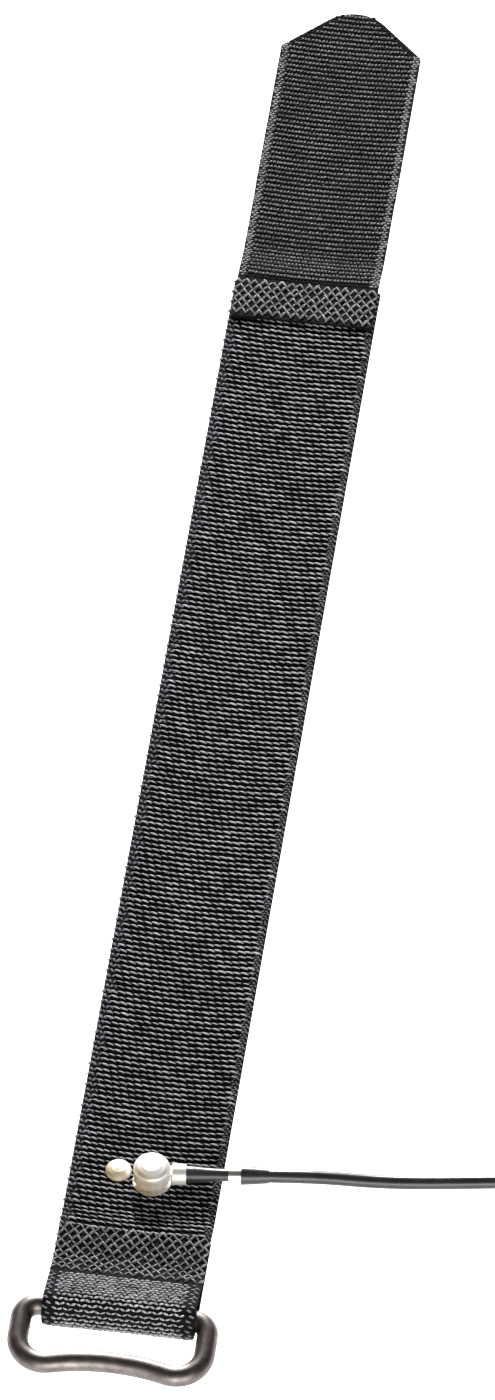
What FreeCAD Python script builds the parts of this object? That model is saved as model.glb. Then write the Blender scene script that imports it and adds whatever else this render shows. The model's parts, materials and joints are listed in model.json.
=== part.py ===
import FreeCAD, Part
import math
import os
import re
import Sketcher

# ESD wrist strap: a woven band looped round a wire ring, a hook tab at the other end, a snap
# with a contact plate, and a lead with a plug.  Millimetres.  The band lies along Y with its
# hook tab towards +Y, its skin side is down on z = 0, and the lead leaves towards +X.

Vector = FreeCAD.Vector
X_AXIS = Vector(1, 0, 0)
Y_AXIS = Vector(0, 1, 0)
Z_AXIS = Vector(0, 0, 1)

doc = FreeCAD.newDocument("wrist_strap")

# ---------------------------------------------------------------- driving dimensions
SIZES = [
    ("band_width", 25.4, "width of the woven band"),
    ("band_length", 297.0, "front of the ring loop to the tip of the tab"),
    ("webbing_thick", 1.1, "woven band"),
    ("lining_thick", 0.4, "conductive lining on the skin side"),
    ("lining_inset", 1.2, "band edge to lining edge"),
    ("layer_gap", 0.1, "between the two webbing layers behind the ring"),
    ("ring_wire", 3.5, "diameter of the ring's wire"),
    ("ring_room", 5.6, "between the centres of the ring's arms, more than the band's width"),
    ("ring_depth", 11.0, "between the centres of the ring's bars"),
    ("ring_corner", 4.6, "outer corners, on the wire's centre line"),
    ("ring_inner_corner", 2.8, "corners beside the loop, on the wire's centre line"),
    ("ring_bow", 1.5, "how far the outer bar bends towards the band"),
    ("ring_offset", 0.5, "how far the ring sits to the left of the band's centre line"),
    ("loop_clear", 0.2, "between the ring's bar and the webbing round it"),
    ("loop_slope", 20.0, "slope of the webbing behind the ring, degrees"),
    ("return_length", 21.0, "loop front to the end of the turned-back webbing"),
    ("blend_radius", 5.0, "where the webbing changes height"),
    ("step_slope", 11.0, "slope of the small steps in the band, degrees"),
    ("stitch_thick", 0.25, "height of the stitched nets"),
    ("stitch_start", 9.2, "loop front to the first row of the loop's net"),
    ("root_length", 52.2, "loop front to the first bending line"),
    ("bend_count", 8, "bending lines along the band"),
    ("bend_gap", 0.3, "gap between two stretches of the band"),
    ("tab_length", 73.7, "hook tab, with its lap"),
    ("lap_length", 8.8, "overlap of the tab and the webbing"),
    ("tape_inset", 0.4, "band edge to the hook tape's edge"),
    ("tape_thick", 0.9, "ground cloth of the hook tape"),
    ("hook_height", 0.6, "hooks above the tape"),
    ("hook_inset", 1.4, "tape edge to the hooks"),
    ("tip_flat", 4.85, "half width of the rounded tip"),
    ("tip_round", 1.93, "height of the rounded tip"),
    ("tip_shoulder", 9.0, "height from the tab's corners to its tip"),
    ("snap_x", 1.2, "snap axis from the band's centre line"),
    ("snap_back", 32.4, "loop front to the snap axis"),
    ("spot_x", -4.6, "plate rivet axis from the band's centre line"),
    ("spot_back", 33.8, "loop front to the plate rivet axis"),
    ("plate_length", 15.0, "contact plate, across the band"),
    ("plate_width", 10.4, "contact plate, along the band"),
    ("plate_thick", 0.2, "contact plate"),
    ("plate_corner", 3.0, "corner radius of the contact plate"),
    ("plate_margin", 0.3, "window in the lining round the plate"),
    ("rivet_head", 0.2, "thickness of the rivets' heads"),
    ("rivet_head_r", 2.4, "radius of the rivets' heads"),
    ("rivet_r", 1.1, "radius of the rivets' shanks"),
    ("rivet_fit", 0.02, "clearance round the rivets' shanks"),
    ("spot_r", 2.2, "radius of the plate rivet's outer dome"),
    ("spot_height", 1.3, "height of the plate rivet's outer dome"),
    ("spot_rim", 0.3, "height of that dome's upright rim"),
    ("flange_wide", 1.4, "how far the stud's flange stands out from its bulb"),
    ("stud_flange", 0.3, "thickness of the stud's flange"),
    ("stud_neck_r", 1.70, "stud's neck"),
    ("stud_lip", 0.1, "how far the stud's bulb stands out from its neck"),
    ("stud_neck", 1.35, "height of the stud's neck"),
    ("stud_bulb", 0.55, "height of the stud's bulb"),
    ("stud_wall", 0.35, "metal above the rivet in the stud"),
    ("socket_lift", 0.72, "between the stud's flange and the socket"),
    ("socket_height", 1.75, "socket body"),
    ("socket_roof", 0.3, "roof of the socket"),
    ("socket_play", 0.25, "clearance of the socket's mouth round the stud's bulb"),
    ("socket_wall", 1.0, "wall of the socket round its mouth"),
    ("socket_edge", 0.2, "broken lower edge of the socket"),
    ("spring_wire_r", 0.2, "radius of the socket spring's wire"),
    ("spring_drop", 0.255, "centre of the socket spring below the stud's bulb"),
    ("spring_play", 0.04, "clearance of the socket spring round the stud's bulb"),
    ("spring_mouth", 60.0, "opening of the socket spring, degrees"),
    ("socket_pin_r", 0.75, "pin of the cap through the lug and the roof"),
    ("swivel_clear", 0.05, "running clearance of the lug on the cap's pin"),
    ("clinch_wide", 0.34, "how far the cap's pin is spread under the roof"),
    ("cap_height", 1.6, "dome of the cap"),
    ("cap_rim", 0.53, "height of the cap's upright rim"),
    ("lug_thick", 0.3, "tongue of the lug"),
    ("lug_r", 3.0, "tongue of the lug"),
    ("lug_neck", 1.9, "width of the lug's neck"),
    ("lead_angle", 6.3, "lead's direction from +X, degrees"),
    ("lead_drop", 0.95, "lead's axis below the lug's tongue"),
    ("barrel_gap", 0.35, "side of the socket to the lug's barrel"),
    ("barrel_length", 2.3, "lug's barrel"),
    ("barrel_r", 1.75, "lug's barrel"),
    ("core_r", 0.7, "bare conductor"),
    ("core_fit", 0.02, "clearance round the conductor"),
    ("sleeve_length", 7.0, "sleeve between the barrel and the ferrule"),
    ("sleeve_r", 1.45, "sleeve at the barrel"),
    ("sleeve_head", 1.05, "straight part of the sleeve at the barrel"),
    ("sleeve_waist", 3.85, "barrel to the sleeve's waist"),
    ("sleeve_waist_r", 1.18, "sleeve's waist"),
    ("sleeve_end_r", 1.06, "sleeve at the ferrule"),
    ("ferrule_length", 2.1, "ferrule"),
    ("ferrule_r", 1.32, "ferrule"),
    ("cord_r", 1.15, "radius of the cord"),
    ("relief_length", 4.6, "strain relief on the cord"),
    ("relief_fit", 0.08, "clearance of the strain relief round the cord"),
    ("relief_r", 1.6, "strain relief's thick end"),
    ("relief_mid_r", 1.49, "strain relief where its taper steepens"),
    ("relief_mid", 1.84, "ferrule to where the strain relief's taper steepens"),
    ("relief_end_r", 1.28, "strain relief's thin end"),
    ("cord_lead_out", 8.0, "straight run of the cord out of the ferrule"),
    ("coil_x", 87.0, "centre of the coil"),
    ("coil_y", -83.0, "centre of the coil"),
    ("coil_r", 13.6, "middle of the coil's turns"),
    ("coil_wide", 11.4, "radial width of the coil's section"),
    ("coil_high", 10.0, "height of the coil"),
    ("coil_round", 2.5, "rounding of the coil's section"),
    ("tie_wide", 4.0, "width of the coil's tie"),
    ("tie_thick", 0.6, "thickness of the coil's tie"),
    ("plug_x", 106.0, "plug's axis"),
    ("plug_y", -54.0, "start of the plug's boot"),
    ("plug_r", 4.5, "plug's shell"),
    ("boot_length", 12.0, "plug's boot"),
    ("boot_r", 2.2, "plug's boot at the cord"),
    ("boot_wide_r", 3.6, "plug's boot at the shell"),
    ("shell_length", 26.0, "plug's shell"),
    ("shell_wall", 1.2, "wall of the plug's shell"),
    ("shell_base", 2.0, "end walls of the plug's shell"),
    ("shell_shoulder", 0.3, "radius that the shell gains over its second taper"),
    ("shell_taper", 1.0, "length of the shell's first taper"),
    ("shell_swell", 1.5, "length of the shell's second taper"),
    ("shell_edge", 0.7, "radius that the shell loses at its pin end"),
    ("shell_close", 1.2, "length of the taper at the shell's pin end"),
    ("pin_collar_r", 2.6, "collar of the plug's pin"),
    ("pin_collar", 1.5, "collar of the plug's pin outside the shell"),
    ("pin_core_r", 1.5, "core of the plug's pin"),
    ("pin_length", 19.0, "free length of the plug's pin"),
    ("pin_root", 2.0, "pin's collar inside the shell"),
    ("pin_land", 1.0, "full diameter of the pin between its collar and its groove"),
    ("pin_nose", 1.0, "taper at the pin's end"),
    ("pin_lip", 1.5, "full diameter of the pin between its groove and its taper"),
    ("nose_r", 1.1, "pin's flat end"),
    ("spring_r", 2.0, "outside of the pin's spring sleeve"),
    ("spring_fit", 0.02, "between the pin's core and its spring sleeve"),
    ("resistor_r", 1.2, "safety resistor"),
    ("resistor_length", 6.5, "safety resistor"),
    ("resistor_cap", 1.3, "resistor's end caps"),
    ("resistor_step", 0.5, "taper beside the resistor's end caps"),
    ("resistor_waist_r", 1.032, "safety resistor between its end caps"),
    ("leg_start", 0.5, "shell's end wall to the start of the resistor's leg"),
    ("leg_r", 0.3, "resistor's legs"),
]

sheet = doc.addObject("Spreadsheet::Sheet", "sizes")
for row, (alias, number, note) in enumerate(SIZES, start=1):
    sheet.set(f"A{row}", note)
    sheet.set(f"B{row}", str(number))
    sheet.setAlias(f"B{row}", alias)
doc.recompute()

ALIASES = {alias for alias, _, _ in SIZES}


def formula(text):
    """A formula in the sheet's aliases, as FreeCAD's expressions write it."""
    return re.sub(r"[a-z]\w*", lambda m: f"sizes.{m[0]}" if m[0] in ALIASES else m[0], str(text))


def size(text):
    """The value of a formula in the sheet's aliases."""
    result = sheet.evalExpression(formula(text))
    return float(getattr(result, "Value", result))


def bind(item, path, text):
    """Ties one property of an object to the sheet."""
    item.setExpression(path, formula(text))


# Sizes and places that follow from the driving dimensions.
TAPE_WIDTH = "(band_width - 2 * tape_inset)"
BULB_R = "(stud_neck_r + stud_lip)"
MOUTH_R = f"({BULB_R} + socket_play)"
SOCKET_R = f"({MOUTH_R} + socket_wall)"
SPRING_R = f"({BULB_R} + spring_play + spring_wire_r)"
LOOP_R = "(ring_wire / 2 + loop_clear + webbing_thick)"
RING_TILT = f"asin(({LOOP_R} - ring_wire / 2) / ring_depth)"
RING_REACH = f"(ring_depth * cos({RING_TILT}) + ring_wire / 2 - {LOOP_R})"
FOLD = f"(({RING_REACH} - band_length) / 2)"
TIP = f"({FOLD} + band_length)"
TAB = f"({TIP} - tab_length)"
LAP_END = f"({TAB} + lap_length)"
FIRST_BEND = f"({FOLD} + root_length)"
BEND_STEP = f"(({TAB} + lap_length / 2 - {FIRST_BEND}) / (bend_count - 1.5))"
BAND_TOP = "(lining_thick + webbing_thick)"
SNAP_Y = f"({FOLD} + snap_back)"
SPOT_Y = f"({FOLD} + spot_back)"
PLATE_X = "((snap_x + spot_x) / 2)"
PLATE_Y = f"(({SNAP_Y} + {SPOT_Y}) / 2)"
FLANGE_TOP = f"({BAND_TOP} + stud_flange)"
SOCKET_Z = f"({FLANGE_TOP} + socket_lift)"
ROOF_TOP = f"({SOCKET_Z} + socket_height)"
LUG_Z = f"({ROOF_TOP} + swivel_clear)"
CAP_Z = f"({LUG_Z} + lug_thick + swivel_clear)"
LEAD_Z = f"({LUG_Z} + lug_thick / 2 - lead_drop)"
BARREL_START = f"({SOCKET_R} + barrel_gap)"
SLEEVE_START = f"({BARREL_START} + barrel_length)"
FERRULE_START = f"({SLEEVE_START} + sleeve_length)"
CORD_START = f"({FERRULE_START} + ferrule_length)"


def bend_place(number):
    """The place along the band of a bending line, counted from 0."""
    return f"({FIRST_BEND} + {number} * {BEND_STEP})"


pieces = []


def finish_piece(item, name):
    item.Label = name
    pieces.append(item)
    return item


# ---------------------------------------------------------------- helpers for sketches
def new_body(name):
    body = doc.addObject("PartDesign::Body", name)
    return finish_piece(body, name)


def new_sketch(body, name, plane):
    """A sketch on one of the body's own origin planes, such as XY_Plane."""
    sketch = body.newObject("Sketcher::SketchObject", name)
    origin_plane = next(f for f in body.Origin.OriginFeatures if f.Role == plane)
    sketch.AttachmentSupport = (origin_plane, "")
    sketch.MapMode = "FlatFace"
    return sketch


def pin_point(sketch, geometry, end, place, tag):
    """Holds one end of a line at a place given by two formulas."""
    for kind, text in zip(("DistanceX", "DistanceY"), place):
        index = sketch.addConstraint(Sketcher.Constraint(kind, -1, 1, geometry, end, size(text)))
        label = f"{tag}_{kind[-1].lower()}"
        sketch.renameConstraint(index, label)
        bind(sketch, f"Constraints.{label}", text)


def add_outline(sketch, places):
    """A closed outline of straight lines through places given as pairs of formulas."""
    corners = [Vector(size(x), size(y), 0) for x, y in places]
    first = sketch.GeometryCount
    for here, there in zip(corners, corners[1:] + corners[:1]):
        sketch.addGeometry(Part.LineSegment(here, there), False)
    for number, place in enumerate(places):
        following = first + (number + 1) % len(places)
        sketch.addConstraint(Sketcher.Constraint("Coincident", first + number, 2, following, 1))
        pin_point(sketch, first + number, 1, place, f"p{first + number}")


def add_circle(sketch, place, radius, tag):
    centre = Vector(size(place[0]), size(place[1]), 0)
    circle = sketch.addGeometry(Part.Circle(centre, Z_AXIS, size(radius)), False)
    pin_point(sketch, circle, 3, place, tag)
    index = sketch.addConstraint(Sketcher.Constraint("Radius", circle, size(radius)))
    sketch.renameConstraint(index, f"{tag}_r")
    bind(sketch, f"Constraints.{tag}_r", radius)


def pad(body, name, sketch, height, up=True):
    feature = body.newObject("PartDesign::Pad", name)
    feature.Profile = sketch
    bind(feature, "Length", height)
    feature.Reversed = not up
    body.Tip = feature
    return feature


def revolve(body, name, sketch, axis):
    feature = body.newObject("PartDesign::Revolution", name)
    feature.Profile = sketch
    feature.ReferenceAxis = (sketch, [axis])
    feature.Angle = 360
    body.Tip = feature
    return feature


def turned(name, places):
    """A turned piece: its outline of (radius, height) formulas goes round its own Z axis."""
    body = new_body(name)
    sketch = new_sketch(body, f"{name}_outline", "XZ_Plane")
    add_outline(sketch, places)
    revolve(body, f"{name}_turned", sketch, "V_Axis")
    return body


def put(item, x="0", y="0", z="0"):
    """Places a piece by formulas."""
    for letter, text in zip("xyz", (x, y, z)):
        if text != "0":
            bind(item, f"Placement.Base.{letter}", text)


def put_on_lead(item, height):
    """Lays a turned piece along the lead's axis, from the snap axis outwards."""
    upright = FreeCAD.Rotation(Y_AXIS, 90)
    swing = FreeCAD.Rotation(Z_AXIS, size("lead_angle"))
    item.Placement.Rotation = swing.multiply(upright)
    put(item, "snap_x", SNAP_Y, height)


def put_on_plug(item):
    """Lays a turned piece along the plug's axis, towards +Y."""
    item.Placement.Rotation = FreeCAD.Rotation(X_AXIS, -90)
    put(item, "plug_x", "plug_y", "plug_r")


# ---------------------------------------------------------------- helpers for bent cloth
class Trail:
    """A smooth line of straights and arcs in the YZ plane."""

    def __init__(self, y, z, heading):
        self.y = y
        self.z = z
        self.heading = heading
        self.steps = []

    def forward(self, length):
        angle = math.radians(self.heading)
        start = (self.y, self.z)
        self.y += length * math.cos(angle)
        self.z += length * math.sin(angle)
        self.steps.append(("line", start, (self.y, self.z), self.heading))

    def reach(self, y):
        self.forward((y - self.y) / math.cos(math.radians(self.heading)))

    def turn(self, radius, angle):
        """Turns left by the angle in degrees, or right where it is negative."""
        side = math.copysign(90, angle)
        to_centre = math.radians(self.heading + side)
        centre = (self.y + radius * math.cos(to_centre), self.z + radius * math.sin(to_centre))
        start = self.heading - side
        self.heading += angle
        end = self.heading - side
        self.y = centre[0] + radius * math.cos(math.radians(end))
        self.z = centre[1] + radius * math.sin(math.radians(end))
        self.steps.append(("arc", centre, radius, start, end))

    def step_to(self, z, radius, angle):
        """A soft step in height: two equal arcs with a straight between them."""
        down = -1 if z < self.z else 1
        arcs = 2 * radius * (1 - math.cos(math.radians(angle)))
        straight = (abs(z - self.z) - arcs) / math.sin(math.radians(angle))
        self.turn(radius, down * angle)
        self.forward(straight)
        self.turn(radius, -down * angle)

    def step_over(self, z, radius, run):
        """A soft step in height that takes up a given length along the table."""
        rise = abs(z - self.z)
        radius = min(radius, 0.9 * (run * run + rise * rise) / (4 * rise))
        spare = 2 * radius - rise
        lean = math.asin(2 * radius / math.hypot(run, spare)) - math.atan2(spare, run)
        self.step_to(z, radius, math.degrees(lean))

    def edges(self, offset):
        """The line moved to its left by the offset."""
        result = []
        for step in self.steps:
            if step[0] == "line":
                side = math.radians(step[3] + 90)
                shift = Vector(0, offset * math.cos(side), offset * math.sin(side))
                ends = [Vector(0, *place) + shift for place in step[1:3]]
                result.append(Part.LineSegment(*ends).toShape())
            else:
                centre, radius, start, end = step[1:]
                left = 1 if end > start else -1
                moved = radius - left * offset
                angles = [math.radians(a) for a in (start, (start + end) / 2, end)]
                places = [
                    Vector(0, centre[0] + moved * math.cos(a), centre[1] + moved * math.sin(a))
                    for a in angles
                ]
                result.append(Part.Arc(*places).toShape())
        return result


def cloth(trail, low, high, width):
    """A strip of cloth that follows a trail, between two offsets from it."""
    near = trail.edges(low)
    far = trail.edges(high)
    caps = [
        Part.LineSegment(near[0].Vertexes[0].Point, far[0].Vertexes[0].Point).toShape(),
        Part.LineSegment(near[-1].Vertexes[-1].Point, far[-1].Vertexes[-1].Point).toShape(),
    ]
    outline = Part.Wire(Part.__sortEdges__(near + far + caps))
    strip = Part.Face(outline).extrude(X_AXIS * width)
    strip.translate(X_AXIS * (-width / 2))
    return strip


def new_shape(name, shape):
    item = doc.addObject("Part::Feature", name)
    item.Shape = shape
    return finish_piece(item, name)


def new_box(name, x_size, y_size, z_size, x, y, z):
    item = doc.addObject("Part::Box", name)
    bind(item, "Length", x_size)
    bind(item, "Width", y_size)
    bind(item, "Height", z_size)
    put(item, x, y, z)
    return finish_piece(item, name)


# ---------------------------------------------------------------- the band's ring end
def rivet_holes():
    """Round holes for the snap's rivet and the plate's rivet, right through the cloth."""
    radius = size("rivet_r + rivet_fit")
    height = size(f"2 * {BAND_TOP}")
    for x, y in (("snap_x", SNAP_Y), ("spot_x", SPOT_Y)):
        yield Part.makeCylinder(radius, height, Vector(size(x), size(y), 0))


def loop_trail():
    """The webbing's outer face, from its turned-back end round the ring's bar to the band."""
    loop_r = size(LOOP_R)
    fold = size(FOLD)
    slope = size("loop_slope")
    blend = size("blend_radius")
    layers_top = size("2 * webbing_thick + layer_gap")
    trail = Trail(fold + size("return_length"), 0.0, 180.0)
    trail.reach(fold + loop_r)
    trail.turn(loop_r, -(180 + slope))
    drop = trail.z - layers_top - blend * (1 - math.cos(math.radians(slope)))
    trail.forward(drop / math.sin(math.radians(slope)))
    trail.turn(blend, slope)
    trail.reach(fold + size("return_length"))
    trail.step_to(size(BAND_TOP), blend, size("step_slope"))
    trail.reach(size(f"{FIRST_BEND} - bend_gap / 2"))
    return trail


def make_ring_end():
    webbing = cloth(loop_trail(), -size("webbing_thick"), 0.0, size("band_width"))
    for hole in rivet_holes():
        webbing = webbing.cut(hole)
    new_shape("webbing_1", webbing)

    net = cloth(loop_trail(), 0.0, size("stitch_thick"), size("band_width"))
    start = size(f"{FOLD} + stitch_start")
    room = Part.makeBox(
        size("band_width"), size(f"{FOLD} + return_length") - start, size("2 * " + LOOP_R),
        Vector(-size("band_width") / 2, start, size("webbing_thick + layer_gap")),
    )
    new_shape("loop_stitching", net.common(room))


def make_lining():
    """The lining's first stretch starts behind the turned-back webbing and has a window."""
    body = new_body("lining_1")
    half = "(band_width / 2 - lining_inset)"
    start = f"({FOLD} + return_length + bend_gap)"
    end = f"({FIRST_BEND} - bend_gap / 2)"
    sketch = new_sketch(body, "lining_1_outline", "XY_Plane")
    add_outline(sketch, [(f"-{half}", start), (half, start), (half, end), (f"-{half}", end)])
    reach_x = "(plate_length / 2 + plate_margin)"
    reach_y = "(plate_width / 2 + plate_margin)"
    left, right = f"({PLATE_X} - {reach_x})", f"({PLATE_X} + {reach_x})"
    back, front = f"({PLATE_Y} + {reach_y})", f"({PLATE_Y} - {reach_y})"
    window = [(left, front), (right, front), (right, back), (left, back)]
    add_outline(sketch, window)
    pad(body, "lining_1_pad", sketch, "lining_thick")


def make_stretches():
    """The band's further stretches, each between two bending lines."""
    count = int(size("bend_count"))
    for number in range(1, count):
        start = f"({bend_place(number - 1)} + bend_gap / 2)"
        end = f"({bend_place(number)} - bend_gap / 2)" if number < count - 1 else LAP_END
        new_box(
            f"webbing_{number + 1}", "band_width", f"{end} - {start}", "webbing_thick",
            "-band_width / 2", start, "lining_thick",
        )
        new_box(
            f"lining_{number + 1}", "band_width - 2 * lining_inset", f"{end} - {start}",
            "lining_thick", "lining_inset - band_width / 2", start, "0",
        )


# ---------------------------------------------------------------- the hook tab
def tape_trail():
    """The hook tape's lower face over the lap and down to the table."""
    trail = Trail(size(TAB), size(BAND_TOP), 0.0)
    trail.reach(size(LAP_END))
    end = size(f"{bend_place(int(size('bend_count')) - 1)} - bend_gap / 2")
    trail.step_over(0.0, size("blend_radius"), end - size(f"{LAP_END} + bend_gap"))
    trail.reach(end)
    return trail


def tab_outline(sketch, half, tip, start):
    """The tab's flat end: straight sides, sloping shoulders and a rounded tip."""
    corner = f"({tip} - tip_shoulder)"
    brow = f"({tip} - tip_round)"
    places = [("-tip_flat", brow), (f"-{half}", corner), (f"-{half}", start)]
    places += [(half, start), (half, corner), ("tip_flat", brow)]
    points = [Vector(size(x), size(y), 0) for x, y in places]
    for here, there in zip(points, points[1:]):
        sketch.addGeometry(Part.LineSegment(here, there), False)
    crown = Vector(0, size(tip), 0)
    arc = sketch.addGeometry(Part.Arc(points[-1], crown, points[0]), False)
    for number in range(len(places) - 2):
        sketch.addConstraint(Sketcher.Constraint("Coincident", number, 2, number + 1, 1))
    for number, place in enumerate(places[:-1]):
        pin_point(sketch, number, 1, place, f"p{number}")
    pin_point(sketch, len(places) - 2, 2, places[-1], "p_last")
    sketch.addConstraint(Sketcher.Constraint("Coincident", arc, 1, len(places) - 2, 2))
    sketch.addConstraint(Sketcher.Constraint("Coincident", arc, 2, 0, 1))
    radius = "((tip_flat * tip_flat + tip_round * tip_round) / (2 * tip_round))"
    index = sketch.addConstraint(Sketcher.Constraint("Radius", arc, size(radius)))
    sketch.renameConstraint(index, "tip_radius")
    bind(sketch, "Constraints.tip_radius", radius)


def make_tab():
    half_tape = f"({TAPE_WIDTH} / 2)"
    half_hooks = f"({TAPE_WIDTH} / 2 - hook_inset)"
    new_shape("hook_tape_1", cloth(tape_trail(), 0.0, size("tape_thick"), size(TAPE_WIDTH)))

    top = size("tape_thick + hook_height")
    hooks = cloth(tape_trail(), size("tape_thick"), top, size(f"{TAPE_WIDTH} - 2 * hook_inset"))
    lap = Part.makeBox(
        size("2 * band_width"), size("lap_length"), size("band_width"),
        Vector(-size("band_width"), size(TAB), 0),
    )
    new_shape("hook_field_1", hooks.cut(lap))

    new_box(
        "tab_stitching", TAPE_WIDTH, "lap_length", "stitch_thick",
        f"-{TAPE_WIDTH} / 2", TAB, f"{BAND_TOP} + tape_thick",
    )

    last_bend = bend_place(int(size("bend_count")) - 1)
    start = f"({last_bend} + bend_gap / 2)"
    tape = new_body("hook_tape_2")
    sketch = new_sketch(tape, "hook_tape_2_outline", "XY_Plane")
    tab_outline(sketch, half_tape, TIP, start)
    pad(tape, "hook_tape_2_pad", sketch, "tape_thick")

    field = new_body("hook_field_2")
    sketch = new_sketch(field, "hook_field_2_outline", "XY_Plane")
    tab_outline(sketch, half_hooks, f"({TIP} - hook_inset / 2)", start)
    pad(field, "hook_field_2_pad", sketch, "hook_height")
    put(field, z="tape_thick")


# ---------------------------------------------------------------- the ring
def make_ring():
    """Round wire bent to a rounded rectangle, with the outer bar bowed towards the band."""
    half = size("(band_width + ring_room) / 2")
    depth = size("ring_depth")
    corner = size("ring_corner")
    bow = size("ring_bow")
    inner = size("ring_inner_corner")
    side = inner * (1 - math.sqrt(0.5))

    def arc(*places):
        return Part.Arc(*[Vector(x, y, 0) for x, y in places]).toShape()

    def line(*places):
        return Part.LineSegment(*[Vector(x, y, 0) for x, y in places]).toShape()

    # The bowed bar is an arc that leaves each corner a little before the full quarter turn.
    reach = half - corner
    bow_r = (reach * reach + bow * bow) / (2 * bow)
    lean = math.asin(reach / (bow_r + corner))
    bow_y = -depth + corner - (bow_r + corner) * math.cos(lean)
    foot_x = bow_r * math.sin(lean)
    foot_y = bow_y + bow_r * math.cos(lean)
    mid = (math.pi / 2 + lean) / 2

    def foot_corner(sign):
        middle_x = sign * (reach + corner * math.cos(mid))
        middle_y = -depth + corner - corner * math.sin(mid)
        return arc((sign * half, corner - depth), (middle_x, middle_y), (sign * foot_x, foot_y))

    wire = Part.Wire([
        line((inner - half, 0), (half - inner, 0)),
        arc((half - inner, 0), (half - side, -side), (half, -inner)),
        line((half, -inner), (half, corner - depth)),
        foot_corner(1),
        arc((foot_x, foot_y), (0, bow_y + bow_r), (-foot_x, foot_y)),
        foot_corner(-1),
        line((-half, corner - depth), (-half, -inner)),
        arc((-half, -inner), (side - half, -side), (inner - half, 0)),
    ])
    section = Part.Wire(Part.Circle(Vector(0, 0, 0), X_AXIS, size("ring_wire / 2")).toShape())
    ring = wire.makePipeShell([section], True, True)
    item = new_shape("loop_ring", ring)
    item.Placement = FreeCAD.Placement(
        Vector(-size("ring_offset"), size(f"{FOLD} + {LOOP_R}"), size(LOOP_R)),
        FreeCAD.Rotation(X_AXIS, size(RING_TILT)),
    )


# ---------------------------------------------------------------- the snap
# A shallow dome's corners, as shares of its radius and of its height.
DOME_SHARES = [(0.94, 0.36), (0.78, 0.65), (0.5, 0.87), (0, 1)]


def dome(radius, foot, height):
    """The outline of a dome that stands on a foot, from its rim to the axis."""
    return [(f"{radius} * {out}", f"{foot} + {height} * {up}") for out, up in DOME_SHARES]


def make_contact_plate():
    """Skin-side plate with two rivet holes."""
    body = new_body("contact_plate")
    sketch = new_sketch(body, "contact_plate_outline", "XY_Plane")
    half_x, half_y = "(plate_length / 2)", "(plate_width / 2)"
    corners = [(f"-{half_x}", f"-{half_y}"), (half_x, f"-{half_y}")]
    corners += [(half_x, half_y), (f"-{half_x}", half_y)]
    add_outline(sketch, corners)
    for tag, x, y in (("snap", "snap_x", SNAP_Y), ("spot", "spot_x", SPOT_Y)):
        add_circle(sketch, (f"{x} - {PLATE_X}", f"{y} - {PLATE_Y}"), "rivet_r + rivet_fit", tag)
    blank = pad(body, "contact_plate_blank", sketch, "plate_thick")
    doc.recompute()
    upright = [
        f"Edge{number}" for number, edge in enumerate(blank.Shape.Edges, start=1)
        if edge.Curve.TypeId == "Part::GeomLine" and abs(edge.tangentAt(0).z) > 0.5
        and abs(abs(edge.CenterOfMass.x) - size(half_x)) < 0.01
    ]
    rounding = body.newObject("PartDesign::Fillet", "contact_plate_corners")
    rounding.Base = (blank, upright)
    bind(rounding, "Radius", "plate_corner")
    body.Tip = rounding
    put(body, PLATE_X, PLATE_Y, "lining_thick - plate_thick")


def make_snap():
    axis = "0"
    shank_top = f"({BAND_TOP} + stud_flange + stud_neck + stud_bulb - stud_wall)"
    rivet = turned("snap_rivet", [
        (axis, "lining_thick - plate_thick - rivet_head"),
        ("rivet_head_r", "lining_thick - plate_thick - rivet_head"),
        ("rivet_head_r", "lining_thick - plate_thick"), ("rivet_r", "lining_thick - plate_thick"),
        ("rivet_r", shank_top), (axis, shank_top),
    ])
    put(rivet, "snap_x", SNAP_Y)

    # The plate's second rivet ends in a flat dome on the outer face.
    rim = f"({BAND_TOP} + spot_rim)"
    spot = turned("plate_rivet", [
        (axis, "lining_thick - plate_thick - rivet_head"),
        ("rivet_head_r", "lining_thick - plate_thick - rivet_head"),
        ("rivet_head_r", "lining_thick - plate_thick"), ("rivet_r", "lining_thick - plate_thick"),
        ("rivet_r", BAND_TOP), ("spot_r", BAND_TOP), ("spot_r", rim),
        *dome("spot_r", rim, "(spot_height - spot_rim)"),
    ])
    put(spot, "spot_x", SPOT_Y)

    bore = "(rivet_r + rivet_fit)"
    neck_top = f"({FLANGE_TOP} + stud_neck)"
    bulb_top = f"({neck_top} + stud_bulb)"
    stud = turned("snap_stud", [
        (bore, BAND_TOP), (f"{BULB_R} + flange_wide", BAND_TOP), (f"{BULB_R} + flange_wide", FLANGE_TOP),
        ("stud_neck_r", FLANGE_TOP), ("stud_neck_r", f"{neck_top} - stud_neck / 4"),
        (BULB_R, neck_top), (BULB_R, f"{bulb_top} - stud_bulb / 3"),
        (f"{BULB_R} * 0.8", bulb_top), (axis, bulb_top),
        (axis, f"{shank_top} + rivet_fit"), (bore, f"{shank_top} + rivet_fit"),
    ])
    put(stud, "snap_x", SNAP_Y)


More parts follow.
